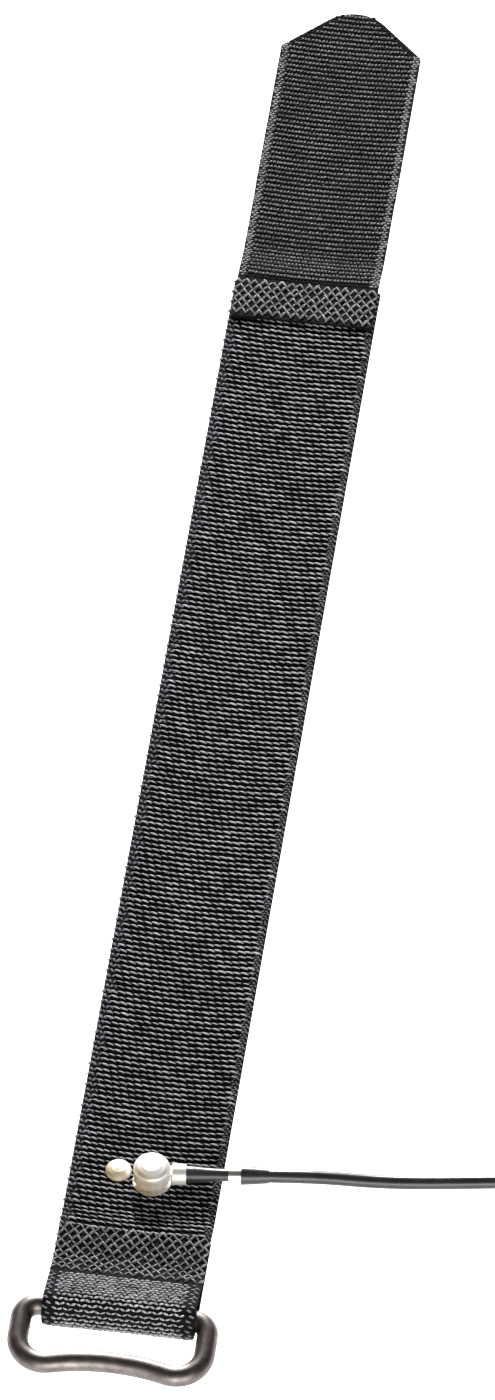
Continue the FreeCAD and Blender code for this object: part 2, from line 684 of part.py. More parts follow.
def make_socket():
    axis = "0"
    spring_z = f"({FLANGE_TOP} + stud_neck - spring_drop)"
    groove_low = f"({spring_z} - spring_wire_r - swivel_clear)"
    groove_high = f"({spring_z} + spring_wire_r + swivel_clear)"
    groove_r = f"({SPRING_R} + spring_wire_r + swivel_clear)"
    ceiling = f"({ROOF_TOP} - socket_roof)"
    body = turned("socket_body", [
        (MOUTH_R, SOCKET_Z), (f"{SOCKET_R} - socket_edge", SOCKET_Z),
        (SOCKET_R, f"{SOCKET_Z} + socket_edge"),
        (SOCKET_R, ROOF_TOP), ("socket_pin_r + rivet_fit", ROOF_TOP),
        ("socket_pin_r + rivet_fit", ceiling), (MOUTH_R, ceiling),
        (MOUTH_R, groove_high), (groove_r, groove_high), (groove_r, groove_low),
        (MOUTH_R, groove_low),
    ])
    put(body, "snap_x", SNAP_Y)

    spring = doc.addObject("Part::Torus", "socket_spring")
    bind(spring, "Radius1", SPRING_R)
    bind(spring, "Radius2", "spring_wire_r")
    bind(spring, "Angle3", "360 - spring_mouth")
    put(spring, "snap_x", SNAP_Y, spring_z)
    finish_piece(spring, "socket_spring")

    clinch_r = "(socket_pin_r + clinch_wide)"
    clinch_z = f"({ceiling} - socket_roof / 2)"
    rim = f"({CAP_Z} + cap_rim)"
    cap = turned("socket_cap", [
        (axis, clinch_z), (clinch_r, clinch_z), (clinch_r, ceiling), ("socket_pin_r", ceiling),
        ("socket_pin_r", CAP_Z), (SOCKET_R, CAP_Z), (SOCKET_R, rim),
        *dome(SOCKET_R, rim, "(cap_height - cap_rim)"),
    ])
    put(cap, "snap_x", SNAP_Y)


# ---------------------------------------------------------------- the lead's fittings
def make_lug():
    """A flat tongue under the cap, a neck and a crimp barrel round the conductor."""
    tongue = Part.makeCylinder(size("lug_r"), size("lug_thick"))
    hole = Part.makeCylinder(size("socket_pin_r + swivel_clear"), size("lug_thick"))
    neck = Part.makeBox(
        size(f"{SLEEVE_START} - barrel_length / 2"), size("lug_neck"), size("lug_thick"),
        Vector(0, -size("lug_neck / 2"), 0),
    )
    middle = Vector(size(BARREL_START), 0, size(f"{LEAD_Z} - {LUG_Z}"))
    barrel = Part.makeCylinder(size("barrel_r"), size("barrel_length"), middle, X_AXIS)
    bore = Part.makeCylinder(size("core_r + core_fit"), size("barrel_length"), middle, X_AXIS)
    lug = tongue.fuse([neck, barrel]).cut([bore, hole]).removeSplitter()
    item = new_shape("lug_terminal", lug)
    item.Placement = FreeCAD.Placement(
        Vector(size("snap_x"), size(SNAP_Y), size(LUG_Z)),
        FreeCAD.Rotation(Z_AXIS, size("lead_angle")),
    )


def make_lead_fittings():
    bore = "(core_r + core_fit)"
    core = turned("conductor_end", [
        ("0", BARREL_START), ("core_r", BARREL_START), ("core_r", CORD_START),
        ("0", CORD_START),
    ])
    waist = f"({SLEEVE_START} + sleeve_waist)"
    sleeve = turned("lead_sleeve", [
        (bore, SLEEVE_START), ("sleeve_r", SLEEVE_START),
        ("sleeve_r", f"{SLEEVE_START} + sleeve_head"),
        ("sleeve_waist_r", waist), ("sleeve_end_r", FERRULE_START), (bore, FERRULE_START),
    ])
    ferrule = turned("ferrule", [
        (bore, FERRULE_START), ("ferrule_r", FERRULE_START), ("ferrule_r", CORD_START),
        (bore, CORD_START),
    ])
    snug = "(cord_r + relief_fit)"
    relief = turned("cord_relief", [
        (snug, CORD_START), ("relief_r", CORD_START),
        ("relief_mid_r", f"{CORD_START} + relief_mid"),
        ("relief_end_r", f"{CORD_START} + relief_length"), (snug, f"{CORD_START} + relief_length"),
    ])
    for item in (core, sleeve, ferrule, relief):
        put_on_lead(item, LEAD_Z)


# ---------------------------------------------------------------- the cord
def cord_start():
    """Where the cord leaves the ferrule, and the direction that it leaves in."""
    angle = math.radians(size("lead_angle"))
    ahead = Vector(math.cos(angle), math.sin(angle), 0)
    centre = Vector(size("snap_x"), size(SNAP_Y), size(LEAD_Z))
    return centre + ahead * size(CORD_START), ahead


# The route, chosen by hand: out of the ferrule, down to the table and on to the coil.
CORD_ROUTE = [
    (30.4, -107.5, 2.6),
    (37.2, -106.5, 1.5),
    (44.8, -105.5, 1.15),
    (53.0, -104.3, 1.15),
    (62.0, -102.6, 1.15),
    (71.0, -101.3, 1.15),
    (80.0, -100.4, 1.15),
]
# From the coil to the plug's boot.
TAIL_ROUTE = [
    (105.1, -77.0, 1.15),
    (105.4, -71.5, 1.6),
    (105.8, -64.8, 3.3),
    (106.0, -58.0, 4.5),
    (106.0, -51.4, 4.5),
]


# How much of the shorter neighbouring run each end of an arc takes up.
ARC_SHARE = 0.45


def cord_tube(name, points):
    """A round tube along straight runs that are joined by arcs as large as the runs allow."""
    edges = []
    start = points[0]
    for before, here, after in zip(points, points[1:], points[2:]):
        inward = (before - here).normalize()
        onward = (after - here).normalize()
        half_turn = (math.pi - inward.getAngle(onward)) / 2
        trim = ARC_SHARE * min((before - here).Length, (after - here).Length)
        radius = trim / math.tan(half_turn)
        first = here + inward * trim
        last = here + onward * trim
        bisector = (inward + onward).normalize()
        middle = here + bisector * (radius / math.cos(half_turn) - radius)
        edges.append(Part.LineSegment(start, first).toShape())
        edges.append(Part.Arc(first, middle, last).toShape())
        start = last
    edges.append(Part.LineSegment(start, points[-1]).toShape())
    path = Part.Wire(edges)
    heading = (points[1] - points[0]).normalize()
    section = Part.Wire(Part.Circle(points[0], heading, size("cord_r")).toShape())
    new_shape(name, path.makePipeShell([section], True, True))
    print(name, "length", round(path.Length, 1))


def make_cord():
    start, ahead = cord_start()
    lead_out = [start, start + ahead * size("cord_lead_out")]
    cord_tube("cord", lead_out + [Vector(*place) for place in CORD_ROUTE])
    cord_tube("cord_tail", [Vector(*place) for place in TAIL_ROUTE])

    body = new_body("cord_coil")
    sketch = new_sketch(body, "cord_coil_outline", "XZ_Plane")
    inner, outer = "(coil_r - coil_wide / 2)", "(coil_r + coil_wide / 2)"
    add_outline(sketch, [
        (f"{inner} + coil_round", "0"), (f"{outer} - coil_round", "0"), (outer, "coil_round"),
        (outer, "coil_high - coil_round"), (f"{outer} - coil_round", "coil_high"),
        (f"{inner} + coil_round", "coil_high"), (inner, "coil_high - coil_round"),
        (inner, "coil_round"),
    ])
    revolve(body, "cord_coil_turned", sketch, "V_Axis")
    put(body, "coil_x", "coil_y")

    # A flat tie round the coil's section, on the side away from the plug.
    clear = size("tie_thick")
    wide, high = size("coil_wide"), size("coil_high")
    middle = Vector(size("coil_x - coil_r"), size("coil_y"), high / 2)
    width = size("tie_wide")
    corner = middle - Vector(wide / 2 + clear, width / 2, high / 2)
    outside = Part.makeBox(wide + 2 * clear, width, high + clear, corner)
    outside = outside.makeFillet(size("coil_round"), [
        edge for edge in outside.Edges
        if edge.Length == width and edge.CenterOfMass.z > high / 2
    ])
    doc.recompute()
    new_shape("coil_tie", outside.cut(body.Shape))


# ---------------------------------------------------------------- the plug
def make_plug():
    shell_inner = "(plug_r - shell_wall)"
    shell_end = "(boot_length + shell_length)"
    snug = "(cord_r + core_fit)"
    boot = turned("plug_boot", [
        (snug, "0"), ("boot_r", "0"), ("boot_wide_r", "boot_length"), (snug, "boot_length"),
    ])
    shell = turned("plug_shell", [
        (snug, "boot_length"), ("boot_wide_r", "boot_length"),
        ("plug_r - shell_shoulder", "boot_length + shell_taper"),
        ("plug_r", "boot_length + shell_taper + shell_swell"),
        ("plug_r", f"{shell_end} - shell_close"), ("plug_r - shell_edge", shell_end),
        ("pin_collar_r + core_fit", shell_end),
        ("pin_collar_r + core_fit", f"{shell_end} - shell_base"),
        (shell_inner, f"{shell_end} - shell_base"), (shell_inner, "boot_length + shell_base"),
        (snug, "boot_length + shell_base"),
    ])
    nose = f"({shell_end} + pin_length)"
    root = f"({shell_end} - shell_base - pin_root)"
    groove_end = f"({nose} - pin_nose - pin_lip)"
    groove_start = f"({shell_end} + pin_collar + pin_land)"
    pin = turned("plug_pin", [
        ("leg_r + core_fit", root), ("pin_collar_r", root),
        ("pin_collar_r", f"{shell_end} + pin_collar"), ("spring_r", f"{shell_end} + pin_collar"),
        ("spring_r", groove_start), ("pin_core_r", groove_start), ("pin_core_r", groove_end),
        ("spring_r", groove_end), ("spring_r", f"{nose} - pin_nose"), ("nose_r", nose),
        ("0", nose), ("0", f"{shell_end} + pin_collar"),
        ("leg_r + core_fit", f"{shell_end} + pin_collar"),
    ])
    spring = turned("plug_spring", [
        ("pin_core_r + spring_fit", f"{groove_start} + spring_fit"),
        ("spring_r", f"{groove_start} + spring_fit"), ("spring_r", f"{groove_end} - spring_fit"),
        ("pin_core_r + spring_fit", f"{groove_end} - spring_fit"),
    ])
    room_start = "(boot_length + shell_base)"
    resistor_start = f"(({room_start} + {root} - resistor_length) / 2)"
    resistor_end = f"({resistor_start} + resistor_length)"
    resistor = turned("resistor", [
        ("0", resistor_start), ("resistor_r", resistor_start),
        ("resistor_r", f"{resistor_start} + resistor_cap"),
        ("resistor_waist_r", f"{resistor_start} + resistor_cap + resistor_step"),
        ("resistor_waist_r", f"{resistor_end} - resistor_cap - resistor_step"),
        ("resistor_r", f"{resistor_end} - resistor_cap"),
        ("resistor_r", resistor_end), ("0", resistor_end),
    ])
    leg_end = f"({room_start} + leg_start)"
    near_leg = turned("resistor_leg_cord", [
        ("0", leg_end), ("leg_r", leg_end), ("leg_r", resistor_start),
        ("0", resistor_start),
    ])
    far_leg = turned("resistor_leg_pin", [
        ("0", resistor_end), ("leg_r", resistor_end), ("leg_r", f"{shell_end} + pin_collar / 2"),
        ("0", f"{shell_end} + pin_collar / 2"),
    ])
    for item in (boot, shell, pin, spring, resistor, near_leg, far_leg):
        put_on_plug(item)


make_ring_end()
make_lining()
make_stretches()
make_tab()
make_ring()
make_contact_plate()
make_snap()
make_socket()
make_lug()
make_lead_fittings()
make_cord()
make_plug()
doc.recompute()

# ---------------------------------------------------------------- checks and output
for item in doc.Objects:
    if "Invalid" in item.State or "Error" in item.State:
        raise RuntimeError(f"{item.Name} failed: {item.State}")
for piece in pieces:
    if piece.Shape.isNull() or not piece.Shape.isValid():
        raise RuntimeError(f"{piece.Label} has no valid shape")
    if not piece.Shape.Solids:
        raise RuntimeError(f"{piece.Label} has no solid")

os.makedirs("parts", exist_ok=True)
for piece in pieces:
    piece.Shape.exportStep(os.path.join("parts", piece.Label + ".step"))
print(len(pieces), "pieces; bends at",
      [round(size(bend_place(n)), 2) for n in range(int(size("bend_count")))])
for name, text in (("fold", FOLD), ("tip", TIP), ("tab", TAB), ("snap_y", SNAP_Y),
                   ("loop_r", LOOP_R), ("lead_z", LEAD_Z), ("roof", ROOF_TOP)):
    print(name, round(size(text), 3))
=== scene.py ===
import json
from math import asin, ceil, cos, pi, radians, sin, tan

import bmesh
import bpy
from bpy.props import FloatProperty, FloatVectorProperty, IntProperty, PointerProperty
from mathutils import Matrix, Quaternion, Vector

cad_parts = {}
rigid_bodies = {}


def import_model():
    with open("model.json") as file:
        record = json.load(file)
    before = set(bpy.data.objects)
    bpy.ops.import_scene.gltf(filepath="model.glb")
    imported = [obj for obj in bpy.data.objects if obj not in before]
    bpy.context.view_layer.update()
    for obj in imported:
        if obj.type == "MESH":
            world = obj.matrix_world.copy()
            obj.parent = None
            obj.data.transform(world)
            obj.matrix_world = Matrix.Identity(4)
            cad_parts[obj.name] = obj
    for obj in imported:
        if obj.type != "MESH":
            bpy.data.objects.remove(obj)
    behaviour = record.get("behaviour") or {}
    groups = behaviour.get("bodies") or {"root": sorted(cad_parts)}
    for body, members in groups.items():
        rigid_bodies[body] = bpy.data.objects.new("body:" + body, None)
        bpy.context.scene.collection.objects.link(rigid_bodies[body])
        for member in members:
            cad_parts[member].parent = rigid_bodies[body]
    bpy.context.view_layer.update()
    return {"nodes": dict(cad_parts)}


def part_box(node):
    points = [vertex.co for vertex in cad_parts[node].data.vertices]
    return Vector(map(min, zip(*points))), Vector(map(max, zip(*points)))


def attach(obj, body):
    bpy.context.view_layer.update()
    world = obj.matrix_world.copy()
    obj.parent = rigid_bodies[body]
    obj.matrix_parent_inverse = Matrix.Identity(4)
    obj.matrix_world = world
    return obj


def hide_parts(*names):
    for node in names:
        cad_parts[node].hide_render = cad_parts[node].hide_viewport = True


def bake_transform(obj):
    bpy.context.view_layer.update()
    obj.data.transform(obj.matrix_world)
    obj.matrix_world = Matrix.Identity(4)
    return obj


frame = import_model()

bl_info = {
    "name": "Wrist Strap",
    "version": (1, 0, 0),
    "blender": (4, 5, 0),
    "location": "3D View > Sidebar > Strap",
    "description": "Builds the woven band, hook tab, lead and finishes of a grounding wrist strap",
    "category": "Add Mesh",
}

NODES = frame["nodes"]
MM = 0.001
FIRST_BEND = -91.489 * MM
BEND_STEP = 27.0 * MM
BENDS = 8
LAP_END = 88.411 * MM
TAB_EDGE = 79.611 * MM
TIP = 153.311 * MM
BAR = (-140.639 * MM, 3.05 * MM)
# The stitched net that holds the turned-back end.
NET_START = -134.3 * MM
NET_END = -123.1 * MM
# Where the lining starts, and a height that only the band's upper side reaches.
LINING_START = -122.36 * MM
UPPER_SIDE = 1.25 * MM
# Small shapes of the weave: length, width and height.
RIDGE = (1.9 * MM, 0.74 * MM, 0.56 * MM)
EDGE_FLOAT = (0.60 * MM, 0.19 * MM, 0.36 * MM)
TURN_FLOAT = (0.84 * MM, 0.36 * MM, 0.56 * MM)
FRONT_FLOAT = (1.0 * MM, 0.36 * MM, 0.44 * MM)
TAPE_FLOAT = (0.74 * MM, 0.36 * MM, 0.36 * MM)
STITCH = (1.02 * MM, 0.36 * MM, 0.3 * MM)
# Steps between them along a row, and the ribs' height above the ground cloth.
EDGE_COLUMN = 0.66 * MM
TURN_COLUMN = 0.73 * MM
FRONT_COLUMN = 0.9 * MM
TAPE_COLUMN = 0.62 * MM
FLOAT_LIFT = 0.14 * MM
ACROSS = (1.0, 0.0, 0.0)
FLOAT = "NodeSocketFloat"
WHOLE = "NodeSocketInt"
VECTOR = "NodeSocketVector"
MATERIAL = "NodeSocketMaterial"
GEOMETRY = "NodeSocketGeometry"


def length(name, text, value):
    """A length property in metres."""
    return FloatProperty(name=name, description=text, default=value, unit="LENGTH", precision=5)


def angle(name, text, degrees):
    """An angle property."""
    return FloatProperty(name=name, description=text, default=radians(degrees), unit="ROTATION")


def share(name, text, value):
    """A plain number property."""
    return FloatProperty(name=name, description=text, default=value)


def colour(name, text, value):
    """A linear colour property."""
    return FloatVectorProperty(name=name, description=text, default=value, subtype="COLOR", size=3)


class BandSettings(bpy.types.PropertyGroup):
    """Sizes of the woven band and its lining."""

    width: length("Width", "Width of the band", 25.4 * MM)
    thick: length("Thickness", "Ground cloth of the band", 1.1 * MM)
    rib: length("Rib Pitch", "From one rib to the next", 1.125 * MM)
    dash: length("Dash Pitch", "From one yarn float to the next along a rib", 1.27 * MM)
    bow: length("Rib Bow", "How far the ribs sag in the middle of the band", 0.55 * MM)
    slant: angle("Slant", "Turn of the yarn floats out of their rib", 13)
    float_size: FloatVectorProperty(
        name="Float Size", description="Length, width and height of a yarn float",
        default=(1.42 * MM, 0.30 * MM, 0.46 * MM), unit="LENGTH", size=3, precision=5)
    edge_left: length("Left Selvedge", "Width of the finer rows at the left edge", 2.2 * MM)
    edge_right: length("Right Selvedge", "Width of the finer rows at the right edge", 1.6 * MM)
    lining_half: length("Lining Half Width", "From the middle to the lining's edge", 11.5 * MM)
    lining_thick: length("Lining Thickness", "Conductive lining", 0.4 * MM)
    stitch: length("Knit Pitch", "From one row of stitches to the next", 0.9 * MM)


class TabSettings(bpy.types.PropertyGroup):
    """Sizes of the hook tab."""

    half: length("Half Width", "From the middle to the tape's edge", 12.3 * MM)
    thick: length("Thickness", "Ground cloth of the hook tape", 0.9 * MM)
    shoulder: length("Shoulder", "From the tab's corners to its tip", 9.0 * MM)
    tip_half: length("Tip Half Width", "Half width of the rounded tip", 4.85 * MM)
    tip_round: length("Tip Height", "Height of the rounded tip", 1.93 * MM)
    row: length("Hook Rows", "From one row of hooks to the next", 1.09 * MM)
    column: length("Hook Columns", "From one hook to the next", 0.62 * MM)
    hook: length("Hook Radius", "Radius of a hook's bend", 0.18 * MM)
    hook_wire: length("Hook Wire", "Radius of a hook's filament", 0.09 * MM)
    border: length("Border", "Plain edge beside the hooks", 1.4 * MM)


class NetSettings(bpy.types.PropertyGroup):
    """Sizes of the stitched nets."""

    cell: length("Cell", "Width of one mesh of the net", 1.75 * MM)
    row: length("Row", "From one row of crossings to the next", 1.1 * MM)
    thread: length("Thread", "Width of the net's thread", 0.33 * MM)
    rise: length("Rise", "Height of the net's thread", 0.6 * MM)


class CordSettings(bpy.types.PropertyGroup):
    """Sizes of the cord and its coil."""

    radius: length("Radius", "Radius of the cord", 1.15 * MM)
    coil_x: length("Coil X", "Centre of the coil", 87.0 * MM)
    coil_y: length("Coil Y", "Centre of the coil", -83.0 * MM)
    coil_r: length("Coil Radius", "Middle of the coil's turns", 13.5 * MM)
    layers: IntProperty(name="Layers", description="Layers of the coil", default=4, min=1, max=8)
    columns: IntProperty(name="Columns", description="Turns side by side in a layer", default=5, min=1, max=8)
    points: IntProperty(name="Points", description="Points of the line for each turn", default=24, min=12)


class FinishSettings(bpy.types.PropertyGroup):
    """Colours of the strap's finishes."""

    # Painted highlight: the floats' pale grey stands in for light caught on the humps of black yarn.
    yarn: colour("Yarn", "Band's floats", (0.50, 0.48, 0.50))
    selvedge: colour("Selvedge", "Band's edges", (0.21, 0.21, 0.245))
    ground: colour("Ground", "Band's ground cloth", (0.010, 0.010, 0.011))
    tape: colour("Tape", "Hook tape's ground cloth", (0.008, 0.008, 0.008))
    hooks: colour("Hooks", "Hook filaments", (0.42, 0.41, 0.42))
    net: colour("Net", "Thread of the stitched nets", (0.225, 0.22, 0.225))
    lining: colour("Lining", "Conductive knit", (0.16, 0.16, 0.165))
    ring: colour("Ring", "Ring's coating", (0.145, 0.125, 0.118))
    nickel: colour("Nickel", "Snap's plating", (0.97, 0.93, 0.85))
    # Brass shows in the tinned fittings' worn patches, and as painted shade on one side of the snap.
    brass: colour("Brass", "Metal under worn plating", (0.86, 0.68, 0.42))
    steel: colour("Steel", "Contact plate", (0.62, 0.62, 0.63))
    tin: colour("Tin", "Tinned fittings", (0.66, 0.62, 0.57))
    sleeve: colour("Sleeve", "Shrunk sleeve", (0.030, 0.031, 0.031))
    cord: colour("Cord", "Cord's sheath", (0.022, 0.022, 0.022))
    plug: colour("Plug", "Plug's plastic", (0.020, 0.020, 0.021))
    resistor: colour("Resistor", "Resistor's coat", (0.55, 0.42, 0.26))


class StageSettings(bpy.types.PropertyGroup):
    """Camera, floor and lights."""

    azimuth: angle("Azimuth", "Camera round the strap", 8.36)
    elevation: angle("Elevation", "Camera above the floor", 49.80)
    roll: angle("Roll", "Turn of the camera about its own axis", -0.60)
    distance: length("Distance", "Camera to the aim", 3.0)
    aim_x: length("Aim X", "Point in the middle of the view", 2.59 * MM)
    aim_y: length("Aim Y", "Point in the middle of the view", -6.1 * MM)
    lens: share("Lens", "Focal length, millimetres on a 36 mm side", 455.0)
    key: share("Key", "Power of the key light, watts", 68.0)
    fill: share("Fill", "Power of the low front light, watts", 32.0)
    world: share("World", "Strength of the surroundings", 0.10)
    drop: length("Floor Drop", "Floor below the strap, room for the bent band", 0.12)
    glow: share("Glow", "Light that the pale floor gives back", 0.85)


GROUPS = {
    "strap_band": BandSettings,
    "strap_tab": TabSettings,
    "strap_net": NetSettings,
    "strap_cord": CordSettings,
    "strap_finish": FinishSettings,
    "strap_stage": StageSettings,
}


# ---- node trees


class Tree:
    """Short calls that fill a node tree."""

    def __init__(self, tree):
        self.tree = tree
        self.ids = {}
        self.start = None

    def inputs(self, kind, *names):
        """Named inputs of one kind."""
        for name in names:
            item = self.tree.interface.new_socket(name=name, in_out="INPUT", socket_type=kind)
            self.ids[name] = item.identifier

    def __getitem__(self, name):
        if self.start is None:
            self.start = self.tree.nodes.new("NodeGroupInput")
        return self.start.outputs[name]

    def add(self, kind, wires=None, **settings):
        """One node; wires maps an input to a socket or a value."""
        node = self.tree.nodes.new(kind)
        for name, value in settings.items():
            setattr(node, name, value)
        for key, value in (wires or {}).items():
            self.wire(node.inputs[key], value)
        return node

    def wire(self, socket, value):
        """Links a socket, or a node's first output, or sets a value."""
        if isinstance(value, bpy.types.Node):
            value = value.outputs[0]
        if isinstance(value, bpy.types.NodeSocket):
            self.tree.links.new(value, socket)
        else:
            socket.default_value = value

    def geo(self, kind, wires=None, **settings):
        """One geometry node, named without its usual prefix."""
        return self.add("GeometryNode" + kind, wires, **settings)

    def math(self, operation, *values):
        return self.add("ShaderNodeMath", dict(enumerate(values)), operation=operation)

    def plus(self, a, b):
        return self.math("ADD", a, b)

    def minus(self, a, b):
        return self.math("SUBTRACT", a, b)

    def times(self, a, b):
        return self.math("MULTIPLY", a, b)

    def over(self, a, b):
        return self.math("DIVIDE", a, b)

    def profile(self):
        """The edges that come in, as a curve."""
        return self.geo("MeshToCurve", {0: self["Geometry"]})

    def split(self, vector):
        """A vector's three parts."""
        return self.add("ShaderNodeSeparateXYZ", {0: vector}).outputs

    def place_parts(self):
        """The three parts of each element's place."""
        return self.split(self.geo("InputPosition"))

    def vector(self, operation, *values):
        wires = dict(enumerate(values))
        if operation == "SCALE":
            wires = {0: values[0], 3: values[1]}
        return self.add("ShaderNodeVectorMath", wires, operation=operation)

    def without(self, shapes, chosen):
        """The shapes that are not chosen."""
        return self.geo("DeleteGeometry", {0: shapes, 1: chosen}, domain="INSTANCE")

    def solid(self, shapes):
        """Smooth real meshes in place of instances."""
        return self.geo("SetShadeSmooth", {0: self.geo("RealizeInstances", {0: shapes})})

    def join(self, *parts):
        node = self.tree.nodes.new("GeometryNodeJoinGeometry")
        for part in parts:
            self.wire(node.inputs[0], part)
        return node

    def output(self, socket):
        self.tree.interface.new_socket(name="Geometry", in_out="OUTPUT", socket_type=GEOMETRY)
        end = self.tree.nodes.new("NodeGroupOutput")
        self.wire(end.inputs[0], socket)


def geometry_tree(name):
    return Tree(bpy.data.node_groups.new(name, "GeometryNodeTree"))


def rows_group():
    """Rows of one small shape laid across a band, along its profile line."""
    found = bpy.data.node_groups.get("Yarn Rows")
    if found:
        return found
    t = geometry_tree("Yarn Rows")
    t.inputs(GEOMETRY, "Profile", "Shape")
    t.inputs(FLOAT, "Centre", "Width", "Row", "Column", "Stagger", "Bow", "Bow Half", "Slant", "Alternate",
             "Row Flip", "Lift", "Wobble", "Vary")
    t.inputs(VECTOR, "Size")
    t.inputs(WHOLE, "Seed")
    whole = t.geo("CurveLength", {0: t["Profile"]})
    rows = t.math("FLOOR", t.plus(t.over(whole, t["Row"]), 0.01))
    columns = t.math("FLOOR", t.plus(t.over(t["Width"], t["Column"]), 0.01))
    last_row = t.minus(rows, 1.0)
    last_column = t.minus(columns, 1.0)
    grid = t.geo("MeshGrid", {0: last_column, 1: last_row, 2: columns, 3: rows})
    place = t.place_parts()
    row = t.math("ROUND", t.plus(place[1], t.times(last_row, 0.5)))
    column = t.math("ROUND", t.plus(place[0], t.times(last_column, 0.5)))
    drift = t.math("FRACT", t.times(row, t["Stagger"]))
    parity = t.math("MODULO", t.plus(column, t.times(row, t["Row Flip"])), 2.0)
    mean_drift = t.times(t.math("SIGN", t["Stagger"]), t.times(t.minus(1.0, t["Stagger"]), 0.5))
    shifted = t.plus(place[0], t.minus(drift, mean_drift))
    x = t.plus(t["Centre"], t.times(shifted, t["Column"]))
    share_x = t.over(x, t["Bow Half"])
    sag = t.times(t["Bow"], t.minus(1.0, t.times(share_x, share_x)))
    along = t.plus(t.times(t.plus(row, 0.5), t["Row"]), sag)
    sample = t.geo("SampleCurve", {"Curves": t["Profile"], "Length": along},
                   mode="LENGTH", use_all_curves=True)
    tangent = sample.outputs["Tangent"]
    inside = t.math("MAXIMUM", t.math("MINIMUM", along, whole), 0.0)
    beyond = t.vector("SCALE", tangent, t.minus(along, inside))
    outward = t.vector("CROSS_PRODUCT", tangent, ACROSS)
    sign = t.minus(1.0, t.times(t.times(parity, t["Alternate"]), 2.0))
    turn = t.times(t.math("TANGENT", t["Slant"]), sign)
    bend = t.times(t.over(t.times(t["Bow"], share_x), t["Bow Half"]), -2.0)
    lean = t.vector("SCALE", tangent, t.plus(turn, bend))
    facing = t.add("FunctionNodeAxesToRotation", {0: outward, 1: t.vector("ADD", ACROSS, lean)},
                   primary_axis="Z", secondary_axis="X")
    varied = t.add("FunctionNodeRandomValue", {"Min": t.minus(1.0, t["Vary"]),
                                               "Max": t.plus(1.0, t["Vary"]), "Seed": t["Seed"]},
                   data_type="FLOAT")
    size = t.vector("SCALE", t["Size"], varied.outputs[1])
    made = t.geo("InstanceOnPoints",
                 {"Points": grid, "Instance": t["Shape"], "Rotation": facing, "Scale": size})
    shake = t.add("FunctionNodeRandomValue", {0: (-1.0, -1.0, -0.5), 1: (1.0, 1.0, 0.5), "Seed": t["Seed"]},
                  data_type="FLOAT_VECTOR")
    sideways = t.add("ShaderNodeCombineXYZ", {0: x})
    centre = t.vector("ADD", t.vector("ADD", sample.outputs["Position"], beyond), sideways)
    lifted = t.vector("ADD", centre, t.vector("SCALE", outward, t["Lift"]))
    final = t.vector("ADD", lifted, t.vector("SCALE", shake, t["Wobble"]))
    t.output(t.geo("SetPosition", {"Geometry": made, "Position": final}))
    return t.tree


def lay_rows(t, profile, shape, **values):
    """Adds one Yarn Rows group node to a tree."""
    node = t.geo("Group", node_tree=rows_group())
    t.wire(node.inputs["Profile"], profile)
    t.wire(node.inputs["Shape"], shape)
    for name, value in values.items():
        t.wire(node.inputs[name.replace("_", " ")], value)
    return node


def yarn_shape(t, around=8, rings=5):
    """A small round body one unit long, for a yarn float."""
    return t.geo("MeshUVSphere", {0: around, 1: rings, 2: 0.5})


def ground_cloth(t, profile, width, thick):
    """The closed strip of cloth that follows a profile line."""
    flat = t.geo("SetCurveNormal", {"Curve": profile, "Normal": ACROSS}, mode="FREE")
    section = t.geo("CurvePrimitiveQuadrilateral", {0: width, 1: thick})
    rounded = t.geo("FilletCurve", {"Curve": section, "Radius": t.times(thick, 0.42), "Count": 3},
                    mode="POLY")
    return t.geo("CurveToMesh", {"Curve": flat, "Profile Curve": rounded, "Fill Caps": True})


def finish_tree(t, *parts, ground=None):
    """Ends a tree: small shapes made real, each part with its material."""
    done = [] if ground is None else [t.geo("SetMaterial", {0: ground[0], "Material": ground[1]})]
    for shapes, material in parts:
        done.append(t.geo("SetMaterial", {"Geometry": t.solid(shapes), "Material": material}))
    t.output(t.join(*done) if len(done) > 1 else done[0])


